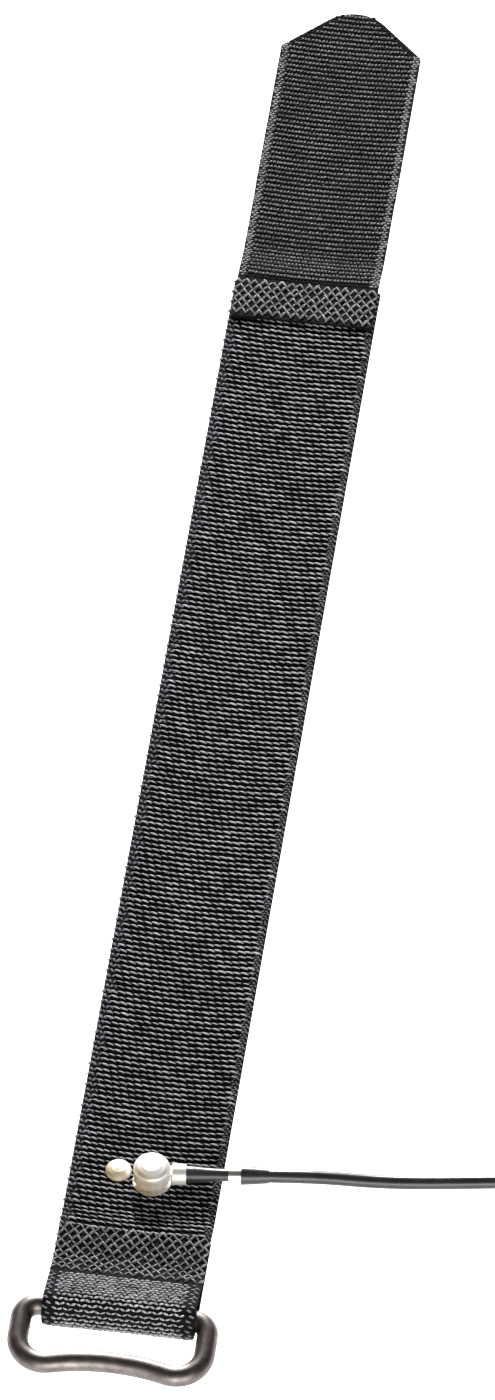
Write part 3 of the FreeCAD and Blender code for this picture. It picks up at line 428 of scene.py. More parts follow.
def woven_tree():
    """The band: ground cloth, slanted floats in bowed ribs and two finer selvedges."""
    t = geometry_tree("Woven Band")
    t.inputs(GEOMETRY, "Geometry")
    t.inputs(FLOAT, "Width", "Thickness", "Rib", "Dash", "Bow", "Slant", "Left", "Right", "Bare From",
             "Bare To")
    t.inputs(VECTOR, "Float Size")
    t.inputs(WHOLE, "Seed")
    t.inputs(MATERIAL, "Ground", "Floats", "Selvedge")
    profile = t.profile()
    ground = ground_cloth(t, profile, t["Width"], t["Thickness"])
    shape = yarn_shape(t)
    half = t.times(t["Width"], 0.5)
    surface = t.times(t["Thickness"], 0.5)
    main = t.minus(t["Width"], t.plus(t["Left"], t["Right"]))
    middle = t.times(t.minus(t["Left"], t["Right"]), 0.5)
    common = dict(Bow=t["Bow"], Bow_Half=half, Lift=surface, Seed=t["Seed"])
    main = t.plus(main, t["Dash"])
    ribs = lay_rows(t, profile, shape, Centre=middle, Width=main, Row=t["Rib"], Column=t["Dash"],
                    Slant=t["Slant"], Stagger=0.23, Size=t["Float Size"], Wobble=0.06 * MM, Vary=0.14,
                    **{**common, "Lift": t.plus(surface, FLOAT_LIFT)})
    ridges = lay_rows(t, profile, yarn_shape(t, 6, 4), Centre=middle, Width=main, Row=t["Rib"],
                      Column=t["Dash"], Slant=0.06, Stagger=0.23, Size=RIDGE, **common)
    fine = t.times(t["Rib"], 0.5)
    left_at = t.minus(t.times(t["Left"], 0.5), half)
    right_at = t.minus(half, t.times(t["Right"], 0.5))
    left = lay_rows(t, profile, shape, Centre=left_at, Width=t["Left"], Row=t["Rib"], Column=TURN_COLUMN,
                    Slant=-0.7, Alternate=1.0, Row_Flip=1.0, Stagger=0.5, Size=TURN_FLOAT,
                    Wobble=0.07 * MM, Vary=0.2, **common)
    right = lay_rows(t, profile, shape, Centre=right_at, Width=t["Right"], Row=fine, Column=EDGE_COLUMN,
                     Slant=-0.5, Alternate=1.0, Stagger=0.5, Size=EDGE_FLOAT, Wobble=0.05 * MM, Vary=0.15,
                     **common)
    place = t.place_parts()
    after = t.math("GREATER_THAN", place[1], t["Bare From"])
    before = t.math("LESS_THAN", place[1], t["Bare To"])
    above = t.math("GREATER_THAN", place[2], UPPER_SIDE)
    bare = t.times(t.times(after, before), above)
    kept = t.without(ribs, bare)
    edges = t.without(t.join(left, right), bare)
    under = t.without(ridges, bare)
    base = t.join(ground, t.solid(under))
    finish_tree(t, (kept, t["Floats"]), (edges, t["Selvedge"]), ground=(base, t["Ground"]))
    return t


def knit_tree():
    """The lining: rows of interlocked knit stitches on its skin side."""
    t = geometry_tree("Knit Lining")
    t.inputs(GEOMETRY, "Geometry")
    t.inputs(FLOAT, "Width", "Thickness", "Pitch")
    t.inputs(VECTOR, "Hole Low", "Hole High")
    t.inputs(WHOLE, "Seed")
    t.inputs(MATERIAL, "Stitches")
    profile = t.profile()
    shape = yarn_shape(t, 6, 4)
    stitches = lay_rows(
        t, profile, shape, Width=t["Width"], Row=t["Pitch"], Column=t.times(t["Pitch"], 0.62),
        Slant=radians(58), Alternate=1.0, Lift=t.times(t["Thickness"], -0.28),
        Size=STITCH, Vary=0.06, Seed=t["Seed"])
    place = t.place_parts()
    low = t.split(t["Hole Low"])
    high = t.split(t["Hole High"])
    inside = 1.0
    for axis in (0, 1):
        inside = t.times(inside, t.math("GREATER_THAN", place[axis], low[axis]))
        inside = t.times(inside, t.math("LESS_THAN", place[axis], high[axis]))
    finish_tree(t, (t.without(stitches, inside), t["Stitches"]))
    return t


def net_tree():
    """A stitched net: short threads that cross as meshes, row by row."""
    t = geometry_tree("Stitched Net")
    t.inputs(GEOMETRY, "Geometry")
    t.inputs(FLOAT, "Width", "Lift", "Cell", "Row", "Thread", "Rise", "Bow")
    t.inputs(WHOLE, "Seed")
    t.inputs(MATERIAL, "Thread Material")
    profile = t.profile()
    column = t.times(t["Cell"], 0.5)
    lean = t.math("ARCTAN2", t["Row"], column)
    run = t.math("SQRT", t.plus(t.times(t["Row"], t["Row"]), t.times(column, column)))
    size = t.add("ShaderNodeCombineXYZ", {0: t.times(run, 1.25), 1: t["Thread"], 2: t["Rise"]})
    links = lay_rows(
        t, profile, yarn_shape(t, 8, 6), Width=t["Width"], Row=t["Row"], Column=column, Slant=lean,
        Alternate=1.0, Row_Flip=1.0, Lift=t["Lift"], Size=size, Wobble=0.17 * MM, Vary=0.24,
        Seed=t["Seed"], Bow=t["Bow"])
    finish_tree(t, (links, t["Thread Material"]))
    return t


def fine_tree():
    """Rows of fine floats across a profile line, with paler ones along both edges."""
    t = geometry_tree("Fine Rows")
    t.inputs(GEOMETRY, "Geometry")
    t.inputs(FLOAT, "Width", "Thickness", "Row", "Column", "Bow", "Edge", "Corner", "Taper")
    t.inputs(VECTOR, "Float Size")
    t.inputs(WHOLE, "Seed")
    t.inputs(MATERIAL, "Floats", "Selvedge")
    profile = t.profile()
    shape = yarn_shape(t, 6, 4)
    half = t.times(t["Width"], 0.5)
    surface = t.times(t["Thickness"], 0.5)
    common = dict(Bow=t["Bow"], Bow_Half=half, Lift=surface, Seed=t["Seed"], Row=t["Row"], Column=t["Column"],
                  Slant=0.35, Alternate=1.0, Stagger=0.5, Size=t["Float Size"], Wobble=0.05 * MM, Vary=0.15)
    inner = t.minus(t["Width"], t.times(t["Edge"], 2.0))
    rows = lay_rows(t, profile, shape, Width=inner, **common)
    side = t.minus(half, t.times(t["Edge"], 0.5))
    left = lay_rows(t, profile, shape, Width=t["Edge"], Centre=t.times(side, -1.0), **common)
    right = lay_rows(t, profile, shape, Width=t["Edge"], Centre=side, **common)
    finish_tree(t, (trimmed(t, rows, half, 0.25 * MM), t["Floats"]),
                (trimmed(t, t.join(left, right), half, 0.25 * MM), t["Selvedge"]))
    return t


def trimmed(t, shapes, half, inset):
    """Shapes that lie inside the tab's outline."""
    place = t.place_parts()
    past = t.math("MAXIMUM", t.minus(place[1], t["Corner"]), 0.0)
    limit = t.minus(t.minus(half, inset), t.times(past, t["Taper"]))
    outside = t.math("GREATER_THAN", t.math("ABSOLUTE", place[0]), limit)
    return t.without(shapes, outside)


def hook_tree():
    """Rows of small bent filaments that stand on the tape."""
    t = geometry_tree("Hooks")
    t.inputs(GEOMETRY, "Geometry")
    t.inputs(FLOAT, "Width", "Half", "Border", "Lift", "Row", "Column", "Radius", "Wire", "Bow", "Corner",
             "Taper")
    t.inputs(WHOLE, "Seed")
    t.inputs(MATERIAL, "Filament")
    profile = t.profile()
    arc = t.geo("CurveArc", {"Resolution": 6, "Radius": t["Radius"], "Start Angle": radians(-60),
                             "Sweep Angle": radians(235)}, mode="RADIUS")
    wire = t.geo("CurvePrimitiveCircle", {"Resolution": 4, "Radius": t["Wire"]}, mode="RADIUS")
    hook = t.geo("CurveToMesh", {"Curve": arc, "Profile Curve": wire, "Fill Caps": True})
    stood = t.geo("Transform", {"Geometry": hook, "Rotation": (radians(90), 0.0, radians(30))})
    lift = t.plus(t["Lift"], t.times(t["Radius"], 0.8))
    rows = lay_rows(t, profile, stood, Width=t["Width"], Row=t["Row"], Column=t["Column"], Stagger=0.5,
                    Size=(1.0, 1.0, 1.0), Bow=t["Bow"], Bow_Half=t["Half"], Lift=lift, Slant=0.25,
                    Alternate=1.0, Row_Flip=1.0, Wobble=0.06 * MM, Vary=0.12, Seed=t["Seed"])
    finish_tree(t, (trimmed(t, rows, t["Half"], t["Border"]), t["Filament"]))
    return t


# ---- meshes


def new_object(name, data):
    made = bpy.data.objects.new(name, data)
    bpy.context.scene.collection.objects.link(made)
    return made


def line_mesh(points):
    """A line of edges in the plane across the band's middle."""
    mesh = bpy.data.meshes.new("profile")
    mesh.from_pydata([(0.0, y, z) for y, z in points], [(i, i + 1) for i in range(len(points) - 1)], [])
    return mesh


def grown(tree, points, **values):
    """The plain mesh that a tree makes from a profile line."""
    base = new_object("profile", line_mesh(points))
    modifier = base.modifiers.new("Nodes", "NODES")
    modifier.node_group = tree.tree
    for name, value in values.items():
        modifier[tree.ids[name.replace("_", " ")]] = value
    bpy.context.view_layer.update()
    mesh = bpy.data.meshes.new_from_object(base.evaluated_get(bpy.context.evaluated_depsgraph_get()))
    bpy.data.objects.remove(base)
    if not mesh.polygons:
        raise RuntimeError(f"{tree.tree.name} made nothing")
    return mesh


def settled(shape, name):
    """A named mesh with the faces that were built up."""
    mesh = bpy.data.meshes.new(name)
    shape.to_mesh(mesh)
    shape.free()
    return mesh


def dyed(mesh, material):
    mesh.materials.append(material)
    return mesh


def piece(name, slot, *meshes):
    """One object from several meshes that have their materials."""
    whole = bmesh.new()
    used = []
    for mesh in meshes:
        start = len(whole.faces)
        whole.from_mesh(mesh)
        whole.faces.ensure_lookup_table()
        names = [m.name if m else "" for m in mesh.materials]
        for face in whole.faces[start:]:
            wanted = names[face.material_index]
            if wanted not in used:
                used.append(wanted)
            face.material_index = used.index(wanted)
    data = settled(whole, name)
    for wanted in used:
        data.materials.append(bpy.data.materials[wanted])
    made = new_object(name, data)
    return made


def steps(first, last, pitch):
    """Evenly spaced numbers from first to last, about a pitch apart."""
    count = max(2, round(abs(last - first) / pitch))
    return [first + (last - first) * i / count for i in range(count + 1)]


def ease(t):
    t = min(1.0, max(0.0, t))
    return t * t * (3 - 2 * t)


def loop_profile(start):
    """Middle of the cloth: along the band, up behind the ring, round its bar and back."""
    flat, raised, back = 0.95 * MM, 1.75 * MM, 0.55 * MM
    step_from, step_to, slope_at = -118.2 * MM, -122.6 * MM, -129.76 * MM
    bend_half, slope = 1.6 * MM, radians(20)
    lift, lift_run, end = 0.2 * MM, 5 * MM, -122.69 * MM
    points = [(y, flat) for y in steps(start, step_from, 1.0 * MM)]
    points += [(y, flat + (raised - flat) * ease((step_from - y) / (step_from - step_to)))
               for y in steps(step_from, step_to, 0.6 * MM)[1:]]
    points += [(y, raised) for y in steps(step_to, slope_at + bend_half, 1.0 * MM)[1:]]
    for y in steps(slope_at + bend_half, slope_at - bend_half, 0.5 * MM)[1:]:
        t = (slope_at + bend_half - y) / (2 * bend_half)
        points.append((y, raised + tan(slope) * bend_half * t * t))
    radius = BAR[1] - back
    top = BAR[0] + radius * sin(slope), BAR[1] + radius * cos(slope)
    y, z = points[-1]
    points += [(y + (top[0] - y) * t / 9, z + (top[1] - z) * t / 9) for t in range(1, 10)]
    for a in steps(radians(90) - slope, radians(270), radians(10))[1:]:
        points.append((BAR[0] + radius * cos(a), BAR[1] + radius * sin(a)))
    points += [(y, back + lift * ease((y - BAR[0]) / lift_run)) for y in steps(BAR[0], end, 1.0 * MM)[1:]]
    return points


def tape_profile(start, end):
    """Middle of the hook tape, from its far end to the lap on the band."""
    low, high = 0.45 * MM, 1.95 * MM
    ramp_low, ramp_high = 97.2 * MM, 88.8 * MM
    ramp = ramp_low - ramp_high
    return [(y, low + (high - low) * ease((ramp_low - y) / ramp)) for y in steps(start, end, 0.75 * MM)]


def wall(shape, low, high):
    """Faces between two closed rings of corners."""
    for i in range(len(low)):
        j = (i + 1) % len(low)
        shape.faces.new((low[i], low[j], high[j], high[i]))


def plate_mesh(outline, low, high, hole=None):
    """A flat plate with an outline, and a hole if one is given, its walls closed."""
    shape = bmesh.new()
    rings = []
    for path in [outline] + ([hole] if hole else []):
        for z in (low, high):
            rings.append([shape.verts.new((x, y, z)) for x, y in path])
    for k in range(0, len(rings), 2):
        wall(shape, rings[k], rings[k + 1])
    for level in (0, 1):
        edges = [shape.edges.get((a, b)) for ring in rings[level::2]
                 for a, b in zip(ring, ring[1:] + ring[:1])]
        bmesh.ops.triangle_fill(shape, edges=edges, use_beauty=True)
    bmesh.ops.recalc_face_normals(shape, faces=shape.faces)
    return settled(shape, "plate")


def strip_mesh(half, profile, thick):
    """A closed strip of cloth with rounded edges along a profile line."""
    shape = bmesh.new()
    rows = []
    r = thick * 0.42
    corner = [(half - r + r * cos(a), thick / 2 - r + r * sin(a))
              for a in (0.0, radians(45), radians(90))]
    section = corner + [(-x, z) for x, z in reversed(corner)]
    section += [(-x, -z) for x, z in corner] + [(x, -z) for x, z in reversed(corner)]
    for i, (y, z) in enumerate(profile):
        before, after = profile[max(i - 1, 0)], profile[min(i + 1, len(profile) - 1)]
        run = Vector((after[0] - before[0], after[1] - before[1])).normalized()
        up = Vector((-run.y, run.x)) * (-1.0)
        rows.append([shape.verts.new((x, y + up.x * h, z + up.y * h)) for x, h in section])
    for a, b in zip(rows, rows[1:]):
        wall(shape, a, b)
    shape.faces.new(rows[0])
    shape.faces.new(list(reversed(rows[-1])))
    bmesh.ops.recalc_face_normals(shape, faces=shape.faces)
    return settled(shape, "strip")


# ---- materials


class Finish(Tree):
    """A material's node tree with its object coordinates."""

    def __init__(self, name):
        self.material = bpy.data.materials.new(name)
        self.material.use_nodes = True
        super().__init__(self.material.node_tree)
        self.shader = self.tree.nodes["Principled BSDF"]
        self.place = self.add("ShaderNodeTexCoord").outputs["Object"]

    def noise(self, scale, detail=4.0, stretch=None):
        place = self.place
        if stretch:
            place = self.add("ShaderNodeMapping", {"Vector": place, "Scale": stretch})
        return self.add("ShaderNodeTexNoise",
                        {"Vector": place, "Scale": scale, "Detail": detail, "Roughness": 0.55})

    def ramp(self, value, *stops, kind="LINEAR"):
        node = self.add("ShaderNodeValToRGB", {0: value})
        node.color_ramp.interpolation = kind
        while len(node.color_ramp.elements) < len(stops):
            node.color_ramp.elements.new(0.5)
        for element, (at, shade) in zip(node.color_ramp.elements, stops):
            element.position = at
            element.color = (*shade, 1.0)
        return node

    def spread(self, value, low, high):
        return self.add("ShaderNodeMapRange", {0: value, 3: low, 4: high})

    def bump(self, height, strength, depth):
        node = self.add("ShaderNodeBump", {"Height": height, "Strength": strength, "Distance": depth})
        self.wire(self.shader.inputs["Normal"], node)

    def set(self, **values):
        for name, value in values.items():
            self.wire(self.shader.inputs[name.replace("_", " ")], value)
        return self.material


def finish(name):
    return bpy.data.materials[name]


def shades(base, low, high):
    """The darker and the lighter variant of a colour."""
    return tuple(min(1.0, c * low) for c in base), tuple(min(1.0, c * high) for c in base)


def cloth_finish(name, base, rough=0.5, sheen=0.25, gloss=0.5):
    """Textured filament yarn: mottled shade, fine filaments and a soft sheen."""
    f = Finish(name)
    dark, light = shades(base, 0.55, 1.5)
    patch = f.noise(420.0, 6.0)
    f.set(Base_Color=f.ramp(patch, (0.30, dark), (0.52, base), (0.74, light)), Sheen_Weight=sheen,
          Sheen_Roughness=0.4, Roughness=f.spread(f.noise(1500.0), rough - 0.12, rough + 0.15),
          Specular_IOR_Level=gloss)
    f.bump(f.noise(9000.0, 3.0, (0.35, 1.0, 1.0)), 0.5, 0.03 * MM)
    return f.material


def metal_finish(name, base, worn, rough, scratch=2500.0, wear=(0.62, 0.78)):
    """Plated metal: patches of worn plating, fine scratches and small dents."""
    f = Finish(name)
    patch = f.noise(700.0, 8.0)
    f.set(Base_Color=f.ramp(patch, (wear[0], base), (wear[1], worn)), Metallic=1.0,
          Roughness=f.spread(f.noise(scratch, 5.0, (1.0, 0.25, 1.0)), rough - 0.08, rough + 0.14))
    f.bump(f.noise(3200.0, 4.0), 0.18, 0.02 * MM)
    return f.material


def plated_finish(name, base, worn):
    """Satin plating, bright and even, with painted shade in brass towards one side (lower x and y)."""
    f = Finish(name)
    place = f.split(f.place)
    # Painted shade: a ramp along 0.6 x + y, broken up a little by noise, turns the side towards lower x and y
    # brass.
    slope = f.plus(f.times(place[0], 0.6), place[1])
    side = f.add("ShaderNodeMapRange", {0: slope, 1: -113.4 * MM, 2: -110.8 * MM, 3: 0.0, 4: 0.6})
    patch = f.plus(side, f.times(f.noise(900.0, 6.0), 0.5))
    f.set(Base_Color=f.ramp(patch, (0.18, worn), (0.50, base)), Metallic=0.45,
          Roughness=f.spread(f.noise(2500.0, 5.0), 0.34, 0.52))
    f.bump(f.noise(3200.0, 4.0), 0.18, 0.02 * MM)
    return f.material


def coat_finish(name, base, rough, grain=5200.0, strength=0.3):
    """Plastic or painted coat: fine moulded grain and faint mottling."""
    f = Finish(name)
    dark, light = shades(base, 0.75, 1.35)
    f.set(Base_Color=f.ramp(f.noise(260.0, 7.0), (0.35, dark), (0.65, light)), Specular_IOR_Level=0.5,
          Roughness=f.spread(f.noise(900.0, 6.0), rough - 0.08, rough + 0.1))
    f.bump(f.noise(grain, 3.0), strength, 0.03 * MM)
    return f.material


def resistor_finish(base):
    """Lacquered resistor: coloured value bands round its body."""
    f = Finish("resistor lacquer")
    along = f.split(f.place)[1]
    band = f.add("ShaderNodeMapRange", {0: along, 1: -33.25 * MM, 2: -26.75 * MM, 3: 0.0, 4: 1.0})
    brown, black, green, gold = (0.12, 0.05, 0.02), (0.01, 0.01, 0.01), (0.03, 0.16, 0.05), (0.55, 0.38, 0.10)
    stripes = ((0.0, base), (0.16, brown), (0.26, base), (0.36, black), (0.46, base),
               (0.54, green), (0.64, base), (0.78, gold), (0.87, base))
    f.set(Base_Color=f.ramp(band, *stripes, kind="CONSTANT"), Coat_Weight=0.4,
          Roughness=f.spread(f.noise(1200.0), 0.25, 0.4))
    f.bump(f.noise(2600.0), 0.15, 0.02 * MM)
    return f.material


# ---- operators


class STRAP_OT_finishes(bpy.types.Operator):
    """Make every finish, and give the CAD nodes theirs"""

    bl_idname = "strap.finishes"
    bl_label = "Finishes"

    def execute(self, context):
        c = context.scene.strap_finish
        # The band floats' pale grey is painted highlight on black yarn.
        cloth_finish("band floats", c.yarn)
        cloth_finish("band ground", c.ground, rough=0.9, sheen=0.0, gloss=0.08)
        cloth_finish("tape ground", c.tape, rough=0.9, sheen=0.0, gloss=0.08)
        cloth_finish("tape floats", shades(c.tape, 1.0, 1.5)[1], rough=0.7, sheen=0.0, gloss=0.12)
        cloth_finish("tape selvedge", shades(c.net, 1.0, 1.15)[1], rough=0.55)
        cloth_finish("band selvedge", c.selvedge, rough=0.5)
        cloth_finish("net thread", c.net, rough=0.42, sheen=0.3)
        cloth_finish("knit ground", shades(c.lining, 0.3, 1.0)[0], rough=0.6)
        cloth_finish("knit stitches", c.lining, rough=0.38, sheen=0.35)
        coat_finish("hook filament", c.hooks, 0.35, 8000.0, 0.2)
        # The snap's nickel carries painted shade in brass on its lower-left side.
        nickel = plated_finish("worn nickel", c.nickel, c.brass)
        steel = metal_finish("brushed steel", c.steel, shades(c.steel, 1, 0.7)[1], 0.28)
        tin = metal_finish("tinned metal", c.tin, c.brass, 0.34, wear=(0.55, 0.75))
        ring = metal_finish("ring coat", c.ring, shades(c.ring, 1.0, 1.5)[1], 0.40, 1400.0, (0.4, 0.7))
        sleeve = coat_finish("sleeve", c.sleeve, 0.33, 2600.0, 0.2)
        sheath = coat_finish("sheath", c.cord, 0.30, 2200.0, 0.15)
        plastic = coat_finish("plug plastic", c.plug, 0.42)
        tie = coat_finish("tie", shades(c.plug, 1, 2.2)[1], 0.5, 3500.0, 0.5)
        given = {
            nickel: ("socket_cap", "socket_body", "snap_stud", "plate_rivet", "lug_terminal"),
            steel: ("contact_plate", "snap_rivet", "socket_spring"),
            tin: ("conductor_end", "ferrule", "resistor_leg_cord", "resistor_leg_pin"),
            ring: ("loop_ring",),
            sleeve: ("lead_sleeve",),
            sheath: ("cord_relief",),
            plastic: ("plug_boot", "plug_shell"),
            tie: ("coil_tie",),
            metal_finish("plug metal", c.nickel, c.steel, 0.2): ("plug_pin", "plug_spring"),
            resistor_finish(c.resistor): ("resistor",),
        }
        for material, names in given.items():
            for name in names:
                mesh = NODES[name].data
                mesh.materials.clear()
                mesh.materials.append(material)
        return {"FINISHED"}


class STRAP_OT_band(bpy.types.Operator):
    """Weave the band, from its ring loop to the hook tab"""

    bl_idname = "strap.band"
    bl_label = "Band"

    def execute(self, context):
        b = context.scene.strap_band
        net = context.scene.strap_net
        ground, floats = finish("band ground"), finish("band floats")
        tree = woven_tree()
        common = dict(Width=b.width, Thickness=b.thick, Rib=b.rib, Dash=b.dash, Bow=b.bow, Slant=b.slant,
                      Float_Size=b.float_size, Left=b.edge_left, Right=b.edge_right, Ground=ground,
                      Floats=floats, Selvedge=finish("band selvedge"))
        start = FIRST_BEND - BEND_STEP / 2
        line = loop_profile(start)
        made = grown(tree, line, Bare_From=-0.2, Bare_To=NET_END, Seed=1, **common)
        front = [(y, z) for y, z in line if y < NET_START + 0.4 * MM and z > 1.0 * MM]
        close = grown(fine_tree(), front, Width=b.width, Thickness=b.thick + 0.1 * MM, Row=b.rib * 0.62,
                      Column=FRONT_COLUMN, Float_Size=FRONT_FLOAT, Edge=b.edge_right, Bow=0.0,
                      Taper=0.0, Seed=8, Floats=floats, Selvedge=finish("band selvedge"))
        end = piece("band_ring_end", "webbing", made, close)
        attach(end, "band_1")
        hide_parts("webbing_1")
        flat = b.lining_thick + b.thick / 2
        for k in range(1, BENDS):
            bend = FIRST_BEND + (k - 1) * BEND_STEP
            low_y = bend - BEND_STEP / 2
            ribs = 28 if k == BENDS - 1 else 24
            high_y = low_y + ribs * b.rib
            made = grown(tree, [(y, flat) for y in steps(high_y, low_y, 1.0 * MM)], Seed=k + 1, **common)
            run = piece(f"band_stretch_{k}", "webbing", made)
            across_bend(run)
            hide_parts(f"webbing_{k + 1}")
        knots = net_tree()
        half_row = net.row / 2
        zone = [(y, z) for y, z in line if NET_START - half_row < y < NET_END + half_row and z > UPPER_SIDE]
        threads = grown(knots, zone, Width=b.width, Lift=b.thick / 2 + 0.05 * MM, Cell=net.cell, Row=net.row,
                        Thread=net.thread, Rise=net.rise, Bow=0.0, Seed=5,
                        Thread_Material=finish("net thread"))
        seam = piece("loop_net", "stitching", threads)
        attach(seam, "band_1")
        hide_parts("loop_stitching")
        return {"FINISHED"}


def across_bend(made):
    """Bakes a piece's place into its mesh."""
    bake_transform(made)


class STRAP_OT_lining(bpy.types.Operator):
    """Knit the conductive lining on the skin side"""

    bl_idname = "strap.lining"
    bl_label = "Lining"

    def execute(self, context):
        b = context.scene.strap_band
        ground, stitches = finish("knit ground"), finish("knit stitches")
        tree = knit_tree()
        middle = b.lining_thick / 2
        low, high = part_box("contact_plate")
        margin = 0.3 * MM
        hole = (low.x - margin, low.y - margin, 0.0), (high.x + margin, high.y + margin, 0.0)
        start = FIRST_BEND - BEND_STEP / 2
        for k in range(BENDS):
            bend = FIRST_BEND + (k - 1) * BEND_STEP
            low_y = LINING_START if k == 0 else bend - BEND_STEP / 2
            high_y = start if k == 0 else LAP_END if k == BENDS - 1 else bend + BEND_STEP / 2
            line = [(y, middle) for y in steps(high_y, low_y, 1.0 * MM)]
            knit = grown(tree, line, Width=2 * b.lining_half, Thickness=b.lining_thick, Pitch=b.stitch,
                         Hole_Low=hole[0], Hole_High=hole[1], Seed=k + 21, Stitches=stitches)
            if k == 0:
                x = b.lining_half
                outline = [(-x, low_y), (x, low_y), (x, high_y), (-x, high_y)]
                (x0, y0, _), (x1, y1, _) = hole
                window = [(x0, y0), (x1, y0), (x1, y1), (x0, y1)]
                base = plate_mesh(outline, 0.12 * MM, b.lining_thick, window)
            else:
                flat = [(y, b.lining_thick * 0.65) for y, _ in line]
                base = strip_mesh(b.lining_half, flat, b.lining_thick * 0.7)
            name = "lining_ring_end" if k == 0 else f"lining_stretch_{k}"
            made = piece(name, "lining", dyed(base, ground), knit)
            if k == 0:
                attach(made, "band_1")
            else:
                across_bend(made)
            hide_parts(f"lining_{k + 1}")
        return {"FINISHED"}


class STRAP_OT_tab(bpy.types.Operator):
    """Make the hook tab, its hooks and the net that holds it"""

    bl_idname = "strap.tab"
    bl_label = "Hook Tab"

    def execute(self, context):
        s = context.scene.strap_tab
        b = context.scene.strap_band
        net = context.scene.strap_net
        ground, floats = finish("tape ground"), finish("tape floats")
        filament = finish("hook filament")
        tape, hooks = fine_tree(), hook_tree()
        split = FIRST_BEND + (BENDS - 0.5) * BEND_STEP
        corner = TIP - s.shoulder
        taper = (s.half - s.tip_half) / (s.shoulder - s.tip_round)
        shape = dict(Corner=corner, Taper=taper, Bow=b.bow)
        rows = ceil((TIP - split) / s.row)
        lap, tip = tape_profile(split, TAB_EDGE), tape_profile(split + rows * s.row, split)
        outline = [(-s.half, split), (s.half, split), (s.half, corner), (s.tip_half, TIP - s.tip_round)]
        arc = (s.tip_half ** 2 + s.tip_round ** 2) / (2 * s.tip_round)
        reach = asin(s.tip_half / arc)
        for i in range(11, 0, -1):
            a = reach * (i - 6) / 6
            outline.append((arc * sin(a), TIP - arc + arc * cos(a)))
        outline += [(-s.tip_half, TIP - s.tip_round), (-s.half, corner)]
        grounds = {"lap": strip_mesh(s.half, lap, s.thick), "tip": plate_mesh(outline, 0.0, s.thick)}
        for k, (name, line) in enumerate((("lap", lap), ("tip", tip))):
            field = [p for p in line if p[0] > LAP_END]
            nap = grown(tape, field, Width=2 * s.half, Thickness=s.thick, Row=s.row / 2, Column=TAPE_COLUMN,
                        Float_Size=TAPE_FLOAT, Edge=s.border, Seed=31 + k, Floats=floats,
                        Selvedge=finish("tape selvedge"), **shape)
            cloth = piece(f"tab_{name}", "hook_tape", dyed(grounds[name], ground), nap)
            stand = grown(hooks, field, Width=2 * (s.half - s.border), Half=s.half, Border=s.border,
                          Lift=s.thick / 2, Row=s.row, Column=s.column, Radius=s.hook, Wire=s.hook_wire,
                          Seed=41 + k, Filament=filament, **shape)
            bristle = piece(f"tab_{name}_hooks", "hooks", stand)
            for made, node in ((cloth, "hook_tape"), (bristle, "hook_field")):
                if name == "lap":
                    across_bend(made)
                else:
                    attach(made, f"band_{BENDS + 1}")
                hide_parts(f"{node}_{k + 1}")
        zone = [p for p in lap if p[0] < LAP_END]
        threads = grown(net_tree(), zone, Width=2 * s.half, Lift=s.thick / 2 + 0.05 * MM, Cell=net.cell * 0.9,
                        Row=net.row, Thread=net.thread, Rise=net.rise, Bow=0.0, Seed=6,
                        Thread_Material=finish("net thread"))
        seam = piece("tab_net", "stitching", threads)
        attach(seam, f"band_{BENDS}")
        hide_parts("tab_stitching")
        return {"FINISHED"}


def coil_slot(turn, columns):
    """Layer of a turn, and its place counted from the outside."""
    layer, place = divmod(turn, columns)
    return layer, place if layer % 2 == 0 else columns - 1 - place


def coil_line(c):
    """Turns side by side and layer on layer, each a diameter from the next."""
    pitch = 2 * c.radius
    turns = c.layers * c.columns
    points = []
    for i in range(turns * c.points):
        turn, part = divmod(i, c.points)
        part /= c.points
        layer, place = coil_slot(turn, c.columns)
        next_layer, next_place = coil_slot(min(turn + 1, turns - 1), c.columns)
        shift = ease((part - 0.75) / 0.25) if next_layer == layer else 0.0
        rise = ease((part - 0.5) / 0.25) if next_layer != layer else 0.0
        outer = c.coil_r + pitch * (c.columns - 1) / 2
        radius = outer - pitch * (place + (next_place - place) * shift)
        height = c.radius + pitch * (layer + (next_layer - layer) * rise)
        a = 2 * pi * part - pi / 2
        points.append((c.coil_x + radius * cos(a), c.coil_y + radius * sin(a), height))
    return points


class STRAP_OT_cord(bpy.types.Operator):
    """Lay the cord from the ferrule to the coil and on to the plug"""

    bl_idname = "strap.cord"
    bl_label = "Cord"

    def execute(self, context):
        c = context.scene.strap_cord
        run = [(15.911, -109.665, 3.52), (23.862, -108.787, 3.52), (30.4, -107.5, 2.6), (37.2, -106.5, 1.5),
               (44.8, -105.5, 1.15), (53.0, -104.3, 1.15), (62.0, -102.9, 1.15), (71.0, -101.9, 1.15),
               (80.0, -101.3, 1.15)]
        tail = [(91.9, -101.1, 8.0), (97.7, -98.0, 7.3), (103.0, -94.0, 5.6), (106.7, -88.5, 3.4),
                (107.9, -82.5, 1.7), (107.3, -77.0, 1.15), (106.5, -71.5, 1.6), (106.0, -64.8, 3.3),
                (106.0, -58.0, 4.5), (106.0, -51.4, 4.5)]
        points = [Vector(p) * MM for p in run] + coil_line(c) + [Vector(p) * MM for p in tail]
        curve = bpy.data.curves.new("lead_cord", "CURVE")
        curve.dimensions = "3D"
        spline = curve.splines.new("NURBS")
        spline.points.add(len(points) - 1)
        for point, place in zip(spline.points, points):
            point.co = (*place, 1.0)
        spline.order_u = 3
        spline.use_endpoint_u = True
        spline.resolution_u = 4
        curve.bevel_depth = c.radius
        curve.bevel_resolution = 4
        curve.use_fill_caps = True
        curve.materials.append(finish("sheath"))
        cord = new_object("lead_cord", curve)
        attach(cord, "lead")
        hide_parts("cord", "cord_coil", "cord_tail")
        ends = [NODES[n] for n in ("cord_relief", "coil_tie", "plug_boot", "plug_shell", "plug_pin",
                                   "plug_spring", "resistor", "resistor_leg_cord", "resistor_leg_pin")]
        tuple(v * MM for v in run[0])
        return {"FINISHED"}


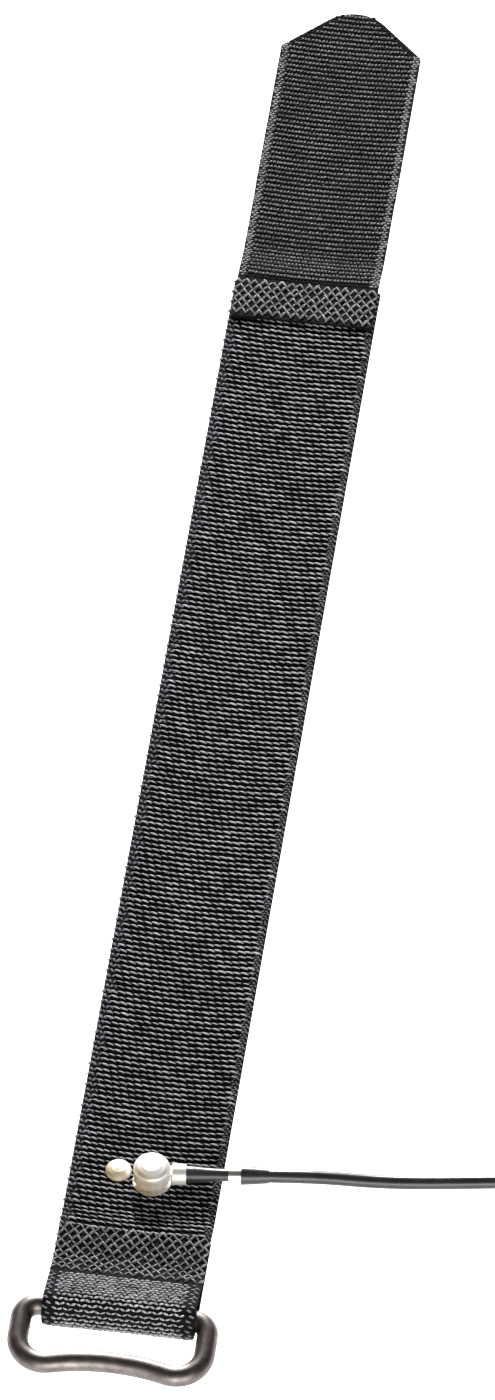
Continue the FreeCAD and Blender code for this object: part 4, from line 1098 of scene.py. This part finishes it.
class STRAP_OT_stage(bpy.types.Operator):
    """Set the floor, the lights and the camera"""

    bl_idname = "strap.stage"
    bl_label = "Stage"

    def execute(self, context):
        s = context.scene.strap_stage
        scene = context.scene
        scene.view_settings.view_transform = "Standard"
        top = -s.drop
        floor = new_object("floor", plate_mesh([(-4, -4), (4, -4), (4, 6), (-4, 6)], top - 0.02, top))
        f = Finish("floor")
        grey, pale = (0.90, 0.90, 0.90), (0.93, 0.93, 0.93)
        f.set(Base_Color=f.ramp(f.noise(2.0), (0.3, grey), (0.7, pale)), Roughness=0.9,
              Emission_Color=(1.0, 1.0, 1.0, 1.0), Emission_Strength=s.glow)
        floor.data.materials.append(f.material)
        world = bpy.data.worlds.new("surroundings")
        world.use_nodes = True
        sky = world.node_tree.nodes["Background"].inputs
        sky[0].default_value, sky[1].default_value = (1.0, 1.0, 1.0, 1.0), s.world
        scene.world = world
        aim = Vector((s.aim_x, s.aim_y, 2 * MM))
        lamps = ("key", s.key, 0.16, (-0.21, 1.42, 0.60)), ("fill", s.fill, 1.2, (0.3, -1.6, 0.20))
        for name, power, size, place in lamps:
            light = bpy.data.lights.new(name, "AREA")
            light.energy = power
            light.size = size
            lamp = new_object(name, light)
            lamp.location = place
            lamp.rotation_mode = "QUATERNION"
            lamp.rotation_quaternion = (aim - Vector(place)).to_track_quat("-Z", "Y")
        a, e = s.azimuth, s.elevation
        back = Vector((sin(a) * cos(e), -cos(a) * cos(e), sin(e)))
        data = bpy.data.cameras.new("camera")
        data.lens = s.lens
        data.sensor_width = 36.0
        data.clip_start, data.clip_end = 0.1, 20.0
        camera = new_object("camera", data)
        camera.rotation_mode = "QUATERNION"
        camera.rotation_quaternion = (-back).to_track_quat("-Z", "Y") @ Quaternion((0, 0, 1), s.roll)
        camera.location = aim + back * s.distance
        scene.camera = camera
        return {"FINISHED"}


OPERATORS = (STRAP_OT_finishes, STRAP_OT_stage, STRAP_OT_cord, STRAP_OT_band, STRAP_OT_lining, STRAP_OT_tab)


class STRAP_PT_panel(bpy.types.Panel):
    """The strap's pieces"""

    bl_idname = "STRAP_PT_panel"
    bl_label = "Wrist Strap"
    bl_space_type = "VIEW_3D"
    bl_region_type = "UI"
    bl_category = "Strap"

    def draw(self, context):
        for operator in OPERATORS:
            self.layout.operator(operator.bl_idname)


CLASSES = (*GROUPS.values(), *OPERATORS, STRAP_PT_panel)


def register():
    for made in CLASSES:
        bpy.utils.register_class(made)
    for name, group in GROUPS.items():
        setattr(bpy.types.Scene, name, PointerProperty(type=group))


def unregister():
    for name in GROUPS:
        delattr(bpy.types.Scene, name)
    for made in reversed(CLASSES):
        bpy.utils.unregister_class(made)


def main():
    register()
    for operator in OPERATORS:
        getattr(bpy.ops.strap, operator.bl_idname.split(".")[1])()
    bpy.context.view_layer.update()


if __name__ == "__main__":
    main()
